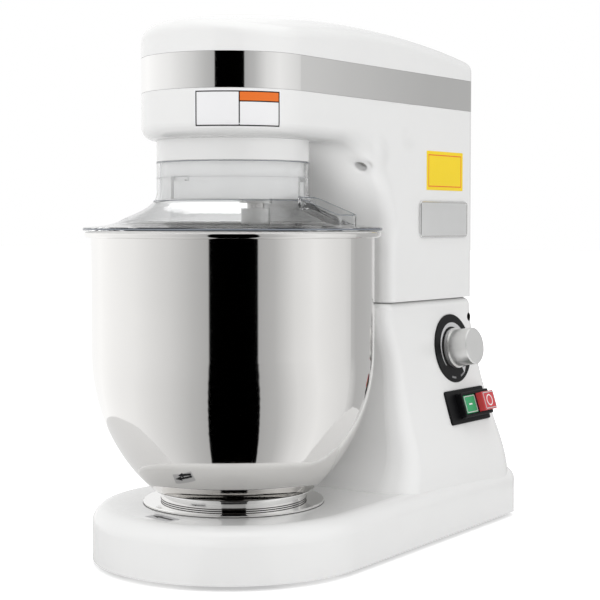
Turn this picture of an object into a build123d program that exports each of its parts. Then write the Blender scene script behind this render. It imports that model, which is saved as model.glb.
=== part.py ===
"""Planetary stand mixer with a tilting head, a twist-lock bowl and a clear bowl guard.

Millimetres, +Z up. The origin is on the floor under the middle of the outline. The front of the
machine faces -Y, and its controls are on the +X side.
"""
import os
from math import acos, asin, atan, cos, pi, radians, sin, tan

from build123d import *

# Base casting
BASE_BACK_Y = 212.0
REAR_HALF = 103.5
REAR_CORNER_R = 18.0
FOOT_STAND = 4.0
SLAB_H = 43.0
SHOULDER_R = 14.0
BASE_WALL = 6.0

# Column and the split between base and head
SPLIT_Z = 204.0
SPLIT_GAP = 0.8
COLUMN_HALF = 70.3
COLUMN_FRONT_Y = 32.5
COLUMN_BACK_Y = 180.0
COLUMN_CORNER_R = 11.0
FLARE_R = 300.0
SPLIT_REAR_R = 6.5
PLATE_SCREW_R = 2.0
FOOT_R = 15.0
GLAND_R = 8.0

# Head
HEAD_NOSE_BACK = 4.4
HEAD_UNDER_Z = 338.0
THROAT_R = 72.0
BAND_LOW_Z = 374.5
BAND_H = 27.8
BAND_T = 1.0
HEAD_WALL = 5.0
CROWN_Z = 442.6
CROWN_Y = 18.0
CROWN_LONG_R = 1100.0
CROWN_CROSS_R = 185.0
COVER_EDGE_R = 10.5
COVER_WALL = 3.0
THROAT_HOLE_X = 57.0
THROAT_HOLE_R = 5.5
THROAT_HOLE_TURN = 48.5
VENT_Z = 285.0
NAME_Y = 121.9
NAME_Z = 275.8
NAME_W = 83.7
NAME_H = 33.0
NAME_T = 1.5

# Hinge and head clamp
HINGE_Y = 171.0
HINGE_Z = 186.0
HINGE_PIN_R = 4.0
HINGE_BUSH_T = 1.5
EAR_OUT = 66.0
EAR_R = 8.5
TONGUE_X = 54.0
TONGUE_T = 6.0
LUG_HALF = 36.0
LUG_R = 8.5
CLAMP_Y = 84.0
CLAMP_Z = 178.0
CLAMP_STUD_R = 4.0
CLAMP_KNOB_R = 19.0
CLAMP_KNOB_T = 18.0

# Bowl and its seat
BOWL_R = 114.0
BOWL_T = 1.2
BOWL_BOTTOM_Z = 59.0
BOWL_SWELL_Z = 169.0
BOWL_SWELL_H = 134.0
BOWL_STAND_OFF = 4.6
RIM_TOP_Z = 266.0
RIM_BEAD_R = 2.7
RIM_LAP = 0.3
FOOT_INSET = 55.0
FOOT_RING_T = 2.0
SEAT_MARGIN = 14.3
SEAT_T = 2.2
BAYONET_INSET = 8.0
HOOK_LOW_Z = 53.6
HOOK_TOP_Z = 56.6
HOOK_SPAN = 40.0
LUG_SPAN = 34.0
SEAT_SCREW_INSET = 15.0
SEAT_SCREW_SHANK = 2.0

# Bowl guard
GUARD_T = 2.6
GUARD_NECK_R = 61.3
GUARD_OVERHANG = 0.8
GUARD_GAP = 0.5
PIN_Z = 307.0
PIN_R = 1.7
GUARD_TWIST = 17.0
CHUTE_ANGLE = 10.0
CHUTE_IN_R = 65.0
CHUTE_OUT_R = 102.0
CHUTE_W = 38.0
CHUTE_H = 7.0
CHUTE_T = 2.2
CHANNEL_D = 3.0
CHUTE_MID_Z = 278.5
CHUTE_SLOPE = 0.40

# Planetary drive
COLLAR_STEP_Z = 321.3
COLLAR_LOW_Z = 291.0
COLLAR_LOW_R = 57.3
COLLAR_BORE_R = 51.0
PLANET_OFFSET = 30.0
GEAR_MODULE = 1.5
PINION_TEETH = 16
RING_TEETH = 56
GEAR_Z = 303.0
GEAR_T = 10.0
BACKLASH = 0.25
MAIN_SHAFT_R = 7.5
AGITATOR_R = 7.0
BUSH_T = 2.5
BEARING_R = 17.5
BEARING_T = 11.0
PULLEY_Z = 378.0
PULLEY_H = 18.0
MAIN_PULLEY_R = 36.0
MOTOR_PULLEY_R = 12.0
BELT_T = 2.5
MOTOR_Y = 106.0
MOTOR_R = 44.0
MOTOR_H = 116.0
MOTOR_FACE_Z = 352.0
MOTOR_SHAFT_R = 5.0
LEDGE_X = 58.0
SCREW_R = 2.5
HOUSING_R = 22.5
HOUSING_FLANGE_R = 38.0
HOUSING_SCREW_R = 31.0
HOUSING_LOW_Z = 318.0
HOUSING_TOP_Z = 372.0
COLLAR_SCREW_R = 56.0
BEATER_WALL_GAP = 15.0
BEATER_T = 9.0
BEATER_LOW_Z = 71.0
BEATER_TOP_Z = 243.0
BEATER_RAIL = 11.0
HUB_R = 12.0
HUB_TOP_Z = 282.0
AGITATOR_LOW_Z = 246.0
DRIVE_PIN_Z = 262.0
DRIVE_PIN_R = 2.5
CARRIER_Z = 292.0
CARRIER_T = 8.0
MOTOR_BEARING_R = 13.0
MOTOR_SCREW_PCR = 30.0
ROTOR_R = 24.0
FLANGE = 3.4
FLANGE_T = 2.0

# Controls
DIAL_Y = 133.0
DIAL_Z = 159.5
DIAL_R = 30.8
DIAL_T = 1.4
DIAL_SEAT = 0.4
KNOB_R = 16.5
KNOB_H = 24.2
SWITCH_Y = 139.0
SWITCH_Z = 108.0
SWITCH_W = 68.0
SWITCH_H = 30.3
BEZEL_W = 50.0
BEZEL_H = 23.0
BEZEL_T = 8.0
BUTTON_W = 21.0
BUTTON_H = 17.0
BUTTON_TRAVEL = 3.0
BUTTON_DEEP = 6.0
STOP_PROUD = 6.5
BEZEL_X = 6.5
START_X = -5.0
STOP_X = 18.0
SWITCH_SINK = 0.8
POT_BUSH_R = 4.5
POT_SHAFT_R = 3.0
BOARD_Y = 120.0
BOARD_W = 100.0
BOARD_D = 70.0
BOARD_STAND = 8.0

# Fits
RUN = 0.05
CLEAR = 0.4

# Derived places
BASE_TOP_Z = FOOT_STAND + SLAB_H
NOSE_R = BOWL_R
RIM_OUT_R = BOWL_R + 2 * RIM_BEAD_R - RIM_LAP
GUARD_BRIM_R = RIM_OUT_R + GUARD_OVERHANG
BOWL_Y = COLUMN_FRONT_Y - GUARD_BRIM_R - BOWL_STAND_OFF
FOOT_RING_R = BOWL_R - FOOT_INSET
SEAT_R = FOOT_RING_R + SEAT_MARGIN
BAYONET_R = FOOT_RING_R - BAYONET_INSET
SEAT_SCREW_R = BAYONET_R - SEAT_SCREW_INSET
BEATER_HALF = BOWL_R - PLANET_OFFSET - BEATER_WALL_GAP
HEAD_LOW_Z = SPLIT_Z + SPLIT_GAP
BAND_TOP_Z = BAND_LOW_Z + BAND_H
HEAD_NOSE_Y = BOWL_Y - HEAD_NOSE_BACK
HEAD_FLOOR_Z = HEAD_UNDER_Z + HEAD_WALL
PLATE_Z = FOOT_STAND + 1.0
PLATE_TOP_Z = PLATE_Z + 2.0
SEAT_TOP_Z = BASE_TOP_Z + SEAT_T
PLANET_Y = BOWL_Y + PLANET_OFFSET
PINION_R = GEAR_MODULE * PINION_TEETH / 2
RING_R = GEAR_MODULE * RING_TEETH / 2
MOTOR_LOW_Z = MOTOR_FACE_Z - MOTOR_H
GUARD_TOP_Z = COLLAR_STEP_Z - GUARD_GAP
crown_axis_z = CROWN_Z - CROWN_CROSS_R
crown_axis = Axis((0, 0, crown_axis_z), (0, 1, 0))

bowl_axis = Axis((0, BOWL_Y, 0), (0, 0, 1))
bowl_section = Plane(origin=(0, BOWL_Y, 0), x_dir=(1, 0, 0), z_dir=(0, -1, 0))
bowl_floor = Plane(origin=(0, BOWL_Y, 0))


def wall_half(z):
    """Half width of the column's flared side wall at a height."""
    return COLUMN_HALF + (SPLIT_Z - z) ** 2 / (2 * FLARE_R)


def wall_plane(y, z):
    """Plane lying on the +X side wall, with its normal pointing out of the wall."""
    tilt = atan((SPLIT_Z - z) / FLARE_R)
    return Plane(origin=(wall_half(z), y, z), x_dir=(0, 1, 0), z_dir=(cos(tilt), 0, sin(tilt)))


def spoke_plane(turn):
    """Upright plane through the bowl axis, its local X pointing out at an angle."""
    angle = radians(turn)
    outward = (cos(angle), sin(angle), 0)
    across = (sin(angle), -cos(angle), 0)
    return Plane(origin=(0, BOWL_Y, 0), x_dir=outward, z_dir=across)


def rim_plane(turn, radius):
    """Upright plane that faces straight out from the bowl axis at an angle and a radius."""
    angle = radians(turn)
    place = (radius * cos(angle), BOWL_Y + radius * sin(angle), 0)
    return Plane(origin=place, x_dir=(-sin(angle), cos(angle), 0), z_dir=(cos(angle), sin(angle), 0))


def head_outline(inset):
    """Plan outline of the head: a round nose, straight sides and a square rear."""
    half = COLUMN_HALF - inset
    back = COLUMN_BACK_Y - inset
    with BuildSketch() as outline:
        with Locations((0, HEAD_NOSE_Y)):
            Circle(half)
        with Locations((0, (HEAD_NOSE_Y + back) / 2)):
            Rectangle(2 * half, back - HEAD_NOSE_Y)
        fillet(outline.vertices().group_by(Axis.Y)[-1], COLUMN_CORNER_R - inset / 2)
    return outline.sketch


def head_profile(inset, top_z):
    """Side outline of the head: nose, throat arc and upper column."""
    front = HEAD_NOSE_Y - COLUMN_HALF + inset
    low = HEAD_LOW_Z + inset
    face = COLUMN_FRONT_Y + inset
    under = HEAD_UNDER_Z + inset
    back = COLUMN_BACK_Y - inset
    r = THROAT_R
    centre_y = face - r
    centre_z = under - r
    with BuildSketch(Plane.YZ) as profile:
        with BuildLine():
            Line((front, under), (centre_y, under))
            RadiusArc((centre_y, under), (face, centre_z), r)
            Polyline((face, centre_z), (face, low), (back, low), (back, top_z), (front, top_z),
                     (front, under))
        make_face()
    return profile.sketch


def base_outline(inset):
    """Plan outline of the base: the nose circle hulled with the two rear corners."""
    corner = max(REAR_CORNER_R - inset, 4.0)
    with BuildSketch() as outline:
        with Locations((0, BOWL_Y)):
            Circle(NOSE_R - inset)
        rear_x = REAR_HALF - inset - corner
        rear_y = BASE_BACK_Y - inset - corner
        with Locations((rear_x, rear_y), (-rear_x, rear_y)):
            Circle(corner)
        make_hull(outline.edges())
    return outline.sketch


def column_section(z, half, front, back, corner, inset):
    """One level of the flared lower column, as a rounded rectangle."""
    wide = 2 * (half - inset)
    deep = back - front - 2 * inset
    with BuildSketch(Plane.XY.offset(z)) as section:
        with Locations((0, (front + back) / 2)):
            RectangleRounded(wide, deep, max(corner - inset, 3.0))
    return section.sketch


def column_levels(inset):
    """Levels of the flared lower column from inside the slab up to the split."""
    return [
        column_section(FOOT_STAND + 28, 103.0, -2.0, 209.5, 30.0, inset),
        column_section(BASE_TOP_Z, 102.0, 4.0, 207.0, 27.0, inset),
        column_section(62, 99.5, 14.0, 203.0, 23.0, inset),
        column_section(84, wall_half(84) - 1.0, 22.5, 197.5, 19.0, inset),
        column_section(122, wall_half(122), 29.5, 190.0, 15.0, inset),
        column_section(163, wall_half(163), COLUMN_FRONT_Y, 184.0, 12.5, inset),
        column_section(SPLIT_Z, COLUMN_HALF, COLUMN_FRONT_Y, COLUMN_BACK_Y, COLUMN_CORNER_R, inset),
    ]


def gear_tooth(teeth, inner_r, outer_r, extra):
    """One involute tooth centred on +X, reaching from inside the root to the tip."""
    pitch_r = GEAR_MODULE * teeth / 2
    base_r = pitch_r * cos(radians(20))
    half = pi / (2 * teeth) + extra / pitch_r + tan(radians(20)) - radians(20)
    low = max(inner_r, base_r)
    flank = []
    for step in range(4):
        r = low + (outer_r - low) * step / 3
        lean = acos(min(1.0, base_r / r))
        angle = half - tan(lean) + lean
        flank.append((r * cos(angle), r * sin(angle)))
    mirror = [(x, -y) for x, y in reversed(flank)]
    root = (inner_r - 0.4) * cos(half)
    with BuildSketch() as tooth:
        with BuildLine():
            Spline(*flank)
            ThreePointArc(flank[-1], (outer_r, 0), mirror[0])
            Spline(*mirror)
            Polyline(mirror[-1], (root, mirror[-1][1]), (root, flank[0][1]), flank[0])
        make_face()
    return tooth.sketch


def crown_section(inset):
    """Half section of the cover's crown, between its roll axis and the long arc."""
    top = CROWN_Z - inset
    drop = 260.0 ** 2 / (2 * CROWN_LONG_R)
    with BuildSketch(Plane.YZ) as crown:
        with BuildLine():
            ThreePointArc((CROWN_Y - 260, top - drop), (CROWN_Y, top), (CROWN_Y + 260, top - drop))
            Polyline((CROWN_Y + 260, top - drop), (CROWN_Y + 260, crown_axis_z),
                     (CROWN_Y - 260, crown_axis_z), (CROWN_Y - 260, top - drop))
        make_face()
    return crown.sketch


def belt_loop(extra):
    """Outline of the belt run, a distance outside both pulleys."""
    with BuildSketch() as loop:
        with Locations((0, BOWL_Y)):
            Circle(MAIN_PULLEY_R + extra)
        with Locations((0, MOTOR_Y)):
            Circle(MOTOR_PULLEY_R + extra)
        make_hull(loop.edges())
    return loop.sketch


def guard_under(inset):
    """Half section of everything under the guard's skin, inset from its outer face."""
    brim_z = RIM_TOP_Z + GUARD_GAP + GUARD_T - inset
    neck_r = GUARD_NECK_R - inset
    reach = GUARD_BRIM_R - GUARD_NECK_R
    knee_r = GUARD_NECK_R + 0.0973 * reach
    slope_r = GUARD_NECK_R + 0.442 * reach
    with BuildSketch(bowl_section) as under:
        with BuildLine():
            Polyline((neck_r, 298), (neck_r, GUARD_TOP_Z), (0, GUARD_TOP_Z), (0, 250),
                     (GUARD_BRIM_R, 250), (GUARD_BRIM_R, brim_z))
            Spline((neck_r, 298), (knee_r - 0.84 * inset, 286.5 - 0.55 * inset),
                   (slope_r - 0.43 * inset, 276.4 - 0.9 * inset), (GUARD_BRIM_R, brim_z),
                   tangents=((0, -1), (1, -0.08)))
        make_face()
    return under.sketch


def blade_outline(inset):
    """Outline of the flat beater, inset from its outer edge."""
    half = BEATER_HALF - inset
    low = BEATER_LOW_Z + inset
    top = BEATER_TOP_Z - inset
    foot = 0.42 * BEATER_HALF - 0.4 * inset
    wing = 0.55 * BEATER_HALF - 0.4 * inset
    with BuildSketch() as blade:
        with BuildLine():
            Spline((foot, low), (0.78 * half, low + 40), (half, low + 105),
                   tangents=((1, 0.9), (0, 1)))
            Spline((half, low + 105), (wing, top - 14), tangents=((0, 1), (-1, 0.45)))
            Polyline((wing, top - 14), (HUB_R - 4, top), (4 - HUB_R, top), (-wing, top - 14))
            Spline((-wing, top - 14), (-half, low + 105), tangents=((-1, -0.45), (0, -1)))
            Spline((-half, low + 105), (-0.78 * half, low + 40), (-foot, low),
                   tangents=((0, -1), (1, -0.9)))
            Line((-foot, low), (foot, low))
        make_face()
    return blade.sketch


def bowl_body(inset):
    """Half section of the bowl's body, inset from its outer face, drawn flat."""
    radius = BOWL_R - inset
    height = BOWL_SWELL_H - inset
    low = BOWL_BOTTOM_Z + inset
    rim_z = RIM_TOP_Z - RIM_BEAD_R
    turn = asin((BOWL_SWELL_Z - low) / height)
    swell = [(radius * cos(turn * n / 4), BOWL_SWELL_Z - height * sin(turn * n / 4)) for n in range(5)]
    with BuildSketch() as body:
        with BuildLine():
            Spline(*swell, tangents=((0, -1), (-radius * sin(turn), -height * cos(turn))))
            Polyline(swell[-1], (0, low), (0, rim_z), (radius, rim_z), swell[0])
        make_face()
    return body.sketch


def keep(piece, name):
    """Label a finished piece and write its file."""
    piece.part.label = name
    export_step(piece.part, "parts/" + name + ".step")


os.makedirs("parts", exist_ok=True)

dial_wall = wall_plane(DIAL_Y, DIAL_Z)
switch_wall = wall_plane(SWITCH_Y, SWITCH_Z)
dial_wall_axis = Axis(dial_wall.origin, dial_wall.z_dir)
switch_wall_axis = Axis(switch_wall.origin, switch_wall.z_dir)
plate_posts = [(62, -150), (-62, -150), (86, -10), (-86, -10), (72, 201), (-72, 201)]
foot_places = [(66, -122), (-66, -122), (78, 160), (-78, 160)]
cord_place = Plane(origin=(-52, BASE_BACK_Y, 20), x_dir=(-1, 0, 0), z_dir=(0, 1, 0))
hinge_line = Plane(origin=(0, HINGE_Y, HINGE_Z), x_dir=(0, 1, 0), z_dir=(1, 0, 0))
clamp_line = Plane(origin=(0, CLAMP_Y, CLAMP_Z), x_dir=(0, 1, 0), z_dir=(-1, 0, 0))
clamp_wall = wall_half(CLAMP_Z)
clamp_tip = TONGUE_X + TONGUE_T / 2 + CLEAR
throat_turn = radians(THROAT_HOLE_TURN)
throat_y = COLUMN_FRONT_Y - THROAT_R + THROAT_R * cos(throat_turn)
throat_z = HEAD_UNDER_Z - THROAT_R + THROAT_R * sin(throat_turn)
throat_normal = (0, -cos(throat_turn), -sin(throat_turn))
throat_right = Plane(origin=(THROAT_HOLE_X, throat_y, throat_z), x_dir=(1, 0, 0), z_dir=throat_normal)
throat_left = Plane(origin=(-THROAT_HOLE_X, throat_y, throat_z), x_dir=(1, 0, 0), z_dir=throat_normal)
pin_turns = (-90, 30, 150)
chute_lean = atan(CHUTE_SLOPE)
motor_floor = Plane(origin=(0, MOTOR_Y, 0))
planet_floor = Plane(origin=(0, PLANET_Y, 0))

# Base casting: slab, flared column, hinge ears and control seats
with BuildPart() as base_casting:
    extrude(Plane.XY.offset(FOOT_STAND) * base_outline(0), SLAB_H)
    fillet(base_casting.edges().group_by(Axis.Z)[-1], SHOULDER_R)
    loft(column_levels(0))
    fillet(base_casting.faces().sort_by(Axis.Z)[-1].edges().sort_by(Axis.Y)[-1], SPLIT_REAR_R)
    loft(column_levels(BASE_WALL), mode=Mode.SUBTRACT)
    extrude(column_levels(BASE_WALL)[-1], 2, both=True, mode=Mode.SUBTRACT)
    extrude(Plane.XY.offset(FOOT_STAND - 1) * base_outline(BASE_WALL), SLAB_H - BASE_WALL + 1,
            mode=Mode.SUBTRACT)
    with BuildSketch(dial_wall.offset(-BASE_WALL)):
        Circle(DIAL_R + CLEAR)
    extrude(amount=BASE_WALL + DIAL_SEAT)
    with BuildSketch(dial_wall.offset(DIAL_SEAT)):
        Circle(DIAL_R + CLEAR)
    extrude(amount=6, mode=Mode.SUBTRACT)
    with BuildSketch(dial_wall):
        Circle(POT_BUSH_R + RUN)
    extrude(amount=20, both=True, mode=Mode.SUBTRACT)
    with BuildSketch(switch_wall.offset(-BASE_WALL)):
        RectangleRounded(SWITCH_W, SWITCH_H, 2.5)
    extrude(amount=BASE_WALL - SWITCH_SINK)
    with BuildSketch(switch_wall.offset(-SWITCH_SINK)):
        RectangleRounded(SWITCH_W + 2 * CLEAR, SWITCH_H + 2 * CLEAR, 2.5)
    extrude(amount=8, mode=Mode.SUBTRACT)
    with BuildSketch(switch_wall.offset(-20)):
        with Locations((BEZEL_X, 0)):
            Rectangle(BEZEL_W - 4 + 2 * RUN, BEZEL_H - 3 + 2 * RUN)
    extrude(amount=30, mode=Mode.SUBTRACT)
    with BuildSketch(hinge_line.offset(-EAR_OUT)):
        Circle(EAR_R)
    extrude(amount=EAR_OUT - LUG_HALF - CLEAR)
    with BuildSketch(hinge_line.offset(LUG_HALF + CLEAR)):
        Circle(EAR_R)
    extrude(amount=EAR_OUT - LUG_HALF - CLEAR)
    with BuildSketch(hinge_line):
        Circle(HINGE_PIN_R + RUN / 2)
    extrude(amount=100, both=True, mode=Mode.SUBTRACT)
    with BuildSketch(Plane.XY.offset(HINGE_Z - LUG_R - 6)):
        with Locations((0, HINGE_Y + 4)):
            Rectangle(2 * (LUG_HALF + CLEAR), 2 * (LUG_R + 9))
    extrude(amount=60, mode=Mode.SUBTRACT)
    with BuildSketch(clamp_line.offset(clamp_wall - 10)):
        Circle(11)
    extrude(amount=8)
    with BuildSketch(clamp_line.offset(40)):
        Circle(CLAMP_STUD_R + RUN)
    extrude(amount=60, mode=Mode.SUBTRACT)
    with BuildSketch(clamp_line.offset(clamp_wall + 0.4)):
        Circle(CLAMP_KNOB_R + 2)
    extrude(amount=10, mode=Mode.SUBTRACT)
    with BuildSketch(Plane.XY.offset(PLATE_TOP_Z)):
        with Locations(*plate_posts):
            Circle(6)
    extrude(amount=BASE_TOP_Z - BASE_WALL - PLATE_TOP_Z + 1)
    with BuildSketch(Plane.XY.offset(PLATE_TOP_Z)):
        with Locations(*plate_posts):
            Circle(PLATE_SCREW_R + RUN)
    extrude(amount=14, mode=Mode.SUBTRACT)
    with BuildSketch(cord_place.offset(-20)):
        Circle(GLAND_R + RUN)
    extrude(amount=40, mode=Mode.SUBTRACT)
    with BuildSketch(bowl_floor.offset(BASE_TOP_Z - 12)):
        with PolarLocations(SEAT_SCREW_R, 4, 45):
            Circle(SEAT_SCREW_SHANK + RUN)
    extrude(amount=20, mode=Mode.SUBTRACT)
keep(base_casting, "base_casting")

# Closing plate under the base
with BuildPart() as base_plate:
    extrude(Plane.XY.offset(PLATE_Z) * base_outline(BASE_WALL + CLEAR), PLATE_TOP_Z - PLATE_Z)
    with BuildSketch(Plane.XY.offset(PLATE_Z)):
        with Locations(*plate_posts):
            Circle(PLATE_SCREW_R + CLEAR)
    extrude(amount=4, mode=Mode.SUBTRACT)
    with BuildSketch(Plane.XY.offset(PLATE_Z)):
        with GridLocations(16, 12, 5, 2):
            SlotOverall(12, 4)
    extrude(amount=4, mode=Mode.SUBTRACT)
keep(base_plate, "base_plate")

# Four rubber feet
with BuildPart() as rubber_feet:
    with BuildSketch():
        with Locations(*foot_places):
            Circle(FOOT_R)
    extrude(amount=PLATE_Z, taper=6)
keep(rubber_feet, "rubber_feet")

# Screws that hold the closing plate
with BuildPart() as base_plate_screws:
    with BuildSketch(Plane.XY.offset(PLATE_Z - 2)):
        with Locations(*plate_posts):
            Circle(4)
    extrude(amount=2)
    with BuildSketch(Plane.XY.offset(PLATE_Z)):
        with Locations(*plate_posts):
            Circle(PLATE_SCREW_R)
    extrude(amount=12)
    with BuildSketch(Plane.XY.offset(PLATE_Z - 2)):
        with Locations(*plate_posts):
            Rectangle(6, 1)
            Rectangle(1, 6)
    extrude(amount=1, mode=Mode.SUBTRACT)
keep(base_plate_screws, "base_plate_screws")

# Bowl seat with three bayonet hooks
with BuildPart() as bowl_seat:
    with BuildSketch(bowl_floor.offset(BASE_TOP_Z)):
        Circle(SEAT_R)
    extrude(amount=SEAT_T)
    chamfer(bowl_seat.edges().group_by(Axis.Z)[-1], 0.6)
    with BuildSketch(bowl_floor.offset(SEAT_TOP_Z)):
        Circle(BAYONET_R - 1)
        Circle(BAYONET_R - 5, mode=Mode.SUBTRACT)
    extrude(amount=HOOK_TOP_Z - SEAT_TOP_Z)
    for turn in (30, 150, 270):
        with BuildSketch(spoke_plane(turn - HOOK_SPAN / 2)):
            with Locations((BAYONET_R - 2, HOOK_LOW_Z)):
                Rectangle(5.6, HOOK_TOP_Z - HOOK_LOW_Z, align=(Align.MIN, Align.MIN))
        revolve(axis=bowl_axis, revolution_arc=HOOK_SPAN)
    with BuildSketch(bowl_floor.offset(BASE_TOP_Z)):
        with PolarLocations(SEAT_SCREW_R, 4, 45):
            Circle(SEAT_SCREW_SHANK + CLEAR)
    extrude(amount=SEAT_T, mode=Mode.SUBTRACT)
keep(bowl_seat, "bowl_seat")

# Screws that hold the bowl seat
with BuildPart() as seat_screws:
    with BuildSketch(bowl_floor.offset(SEAT_TOP_Z)):
        with PolarLocations(SEAT_SCREW_R, 4, 45):
            Circle(4.2)
    extrude(amount=1.6, taper=25)
    with BuildSketch(bowl_floor.offset(SEAT_TOP_Z - 10)):
        with PolarLocations(SEAT_SCREW_R, 4, 45):
            Circle(SEAT_SCREW_SHANK)
    extrude(amount=10)
keep(seat_screws, "seat_screws")

# Hinge pin across the ears
with BuildPart() as hinge_pin:
    with BuildSketch(hinge_line):
        Circle(HINGE_PIN_R)
    extrude(amount=EAR_OUT - 3, both=True)
    chamfer(hinge_pin.edges().filter_by(GeomType.CIRCLE), 0.6)
keep(hinge_pin, "hinge_pin")

# Dial plate on the side wall
with BuildPart() as dial_plate:
    with BuildSketch(dial_wall.offset(DIAL_SEAT)):
        Circle(DIAL_R)
        Circle(POT_BUSH_R + CLEAR, mode=Mode.SUBTRACT)
    extrude(amount=DIAL_T)
keep(dial_plate, "dial_plate")

# Speed control behind the dial: body, threaded bush and nut
with BuildPart() as speed_control:
    with BuildSketch(dial_wall.offset(-BASE_WALL - 12)):
        Circle(12)
    extrude(amount=12)
    with BuildSketch(dial_wall.offset(-BASE_WALL)):
        Circle(POT_BUSH_R)
    extrude(amount=BASE_WALL + DIAL_SEAT + DIAL_T + 2)
    with BuildSketch(dial_wall.offset(DIAL_SEAT + DIAL_T)):
        RegularPolygon(7, 6)
    extrude(amount=2)
    with BuildSketch(dial_wall.offset(-BASE_WALL - 8)):
        Circle(POT_SHAFT_R + RUN)
    extrude(amount=40, mode=Mode.SUBTRACT)
keep(speed_control, "speed_control")

# Speed knob with its shaft
with BuildPart() as speed_knob:
    with BuildSketch(dial_wall.offset(DIAL_SEAT + DIAL_T + CLEAR)):
        Circle(KNOB_R + 1.6)
    extrude(amount=3.6)
    with BuildSketch(dial_wall.offset(DIAL_SEAT + DIAL_T + CLEAR + 3.6)):
        Circle(KNOB_R)
    extrude(amount=KNOB_H - DIAL_SEAT - DIAL_T - CLEAR - 3.6)
    chamfer(speed_knob.edges().filter_by(GeomType.CIRCLE).sort_by(dial_wall_axis)[-1], 0.9)
    with BuildSketch(dial_wall.offset(DIAL_SEAT + DIAL_T + CLEAR)):
        Circle(9)
    extrude(amount=4, mode=Mode.SUBTRACT)
    with BuildSketch(dial_wall.offset(-BASE_WALL - 7.5)):
        Circle(POT_SHAFT_R)
    extrude(amount=BASE_WALL + 20)
keep(speed_knob, "speed_knob")

# Switch plate with its raised button frame
with BuildPart() as switch_plate:
    with BuildSketch(switch_wall.offset(-SWITCH_SINK)):
        RectangleRounded(SWITCH_W, SWITCH_H, 2)
    extrude(amount=SWITCH_SINK + 1.8)
    with BuildSketch(switch_wall):
        with Locations((BEZEL_X, 0)):
            RectangleRounded(BEZEL_W, BEZEL_H, 1.5)
    extrude(amount=BEZEL_T)
    chamfer(switch_plate.faces().sort_by(switch_wall_axis)[-1].edges(), 0.5)
    with BuildSketch(switch_wall.offset(-SWITCH_SINK)):
        with Locations((START_X, 0), (STOP_X, 0)):
            Rectangle(BUTTON_W + 2 * CLEAR, BUTTON_H + 2 * CLEAR)
    extrude(amount=BEZEL_T + 4, mode=Mode.SUBTRACT)
keep(switch_plate, "switch_plate")

# Switch body behind the wall
with BuildPart() as switch_body:
    with BuildSketch(switch_wall.offset(-34)):
        with Locations((BEZEL_X, 0)):
            Rectangle(BEZEL_W - 4, BEZEL_H - 3)
    extrude(amount=34 - SWITCH_SINK)
    with BuildSketch(switch_wall.offset(-BUTTON_DEEP - BUTTON_TRAVEL - CLEAR)):
        with Locations((START_X, 0), (STOP_X, 0)):
            Rectangle(BUTTON_W + 2 * CLEAR, BUTTON_H + 2 * CLEAR)
    extrude(amount=40, mode=Mode.SUBTRACT)
    with BuildSketch(switch_wall.offset(-42)):
        with Locations((BEZEL_X, 0)):
            with GridLocations(14, 10, 3, 2):
                Rectangle(6, 0.8)
    extrude(amount=8.5)
keep(switch_body, "switch_body")

# Start button, flush in the frame
with BuildPart() as start_button:
    with BuildSketch(switch_wall.offset(-BUTTON_DEEP)):
        with Locations((START_X, 0)):
            Rectangle(BUTTON_W, BUTTON_H)
    extrude(amount=BUTTON_DEEP + BEZEL_T - 0.4)
    fillet(start_button.faces().sort_by(switch_wall_axis)[-1].edges(), 1)
keep(start_button, "start_button")

# Stop button, standing proud of the frame
with BuildPart() as stop_button:
    with BuildSketch(switch_wall.offset(-BUTTON_DEEP)):
        with Locations((STOP_X, 0)):
            Rectangle(BUTTON_W, BUTTON_H)
    extrude(amount=BUTTON_DEEP + BEZEL_T + STOP_PROUD)
    fillet(stop_button.faces().sort_by(switch_wall_axis)[-1].edges(), 1.2)
keep(stop_button, "stop_button")

# Speed board on four stand-offs over the closing plate
with BuildPart() as board_standoffs:
    with BuildSketch(Plane.XY.offset(PLATE_TOP_Z)):
        with Locations((0, BOARD_Y)):
            with GridLocations(BOARD_W - 10, BOARD_D - 10, 2, 2):
                RegularPolygon(4, 6)
    extrude(amount=BOARD_STAND)
keep(board_standoffs, "board_standoffs")

with BuildPart() as control_board:
    with BuildSketch(Plane.XY.offset(PLATE_TOP_Z + BOARD_STAND)):
        with Locations((0, BOARD_Y)):
            Rectangle(BOARD_W, BOARD_D)
    extrude(amount=1.6)
    with BuildSketch(Plane.XY.offset(PLATE_TOP_Z + BOARD_STAND + 1.6)):
        with Locations((-30, BOARD_Y + 14), (-8, BOARD_Y + 14)):
            Circle(8)
        with Locations((-22, BOARD_Y - 16)):
            Rectangle(34, 16)
    extrude(amount=22)
keep(control_board, "control_board")

with BuildPart() as heat_sink:
    with BuildSketch(Plane.XY.offset(PLATE_TOP_Z + BOARD_STAND + 1.6)):
        with Locations((28, BOARD_Y)):
            Rectangle(24, 56)
    extrude(amount=4)
    with BuildSketch(Plane.XY.offset(PLATE_TOP_Z + BOARD_STAND + 5.6)):
        with Locations((28, BOARD_Y)):
            with GridLocations(5.5, 1, 5, 1):
                Rectangle(2, 56)
    extrude(amount=20)
keep(heat_sink, "heat_sink")

# Cord inlet gland at the rear
with BuildPart() as cord_gland:
    with BuildSketch(cord_place.offset(-BASE_WALL)):
        Circle(GLAND_R)
    extrude(amount=BASE_WALL)
    with BuildSketch(cord_place):
        RegularPolygon(GLAND_R + 3, 6)
    extrude(amount=2.5)
    with BuildSketch(cord_place.offset(2.5)):
        Circle(GLAND_R)
    extrude(amount=1.7, taper=25)
    with BuildSketch(cord_place.offset(-BASE_WALL - 4)):
        RegularPolygon(GLAND_R + 3, 6)
    extrude(amount=4)
    with BuildSketch(cord_place.offset(-20)):
        Circle(4)
    extrude(amount=40, mode=Mode.SUBTRACT)
keep(cord_gland, "cord_gland")

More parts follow.
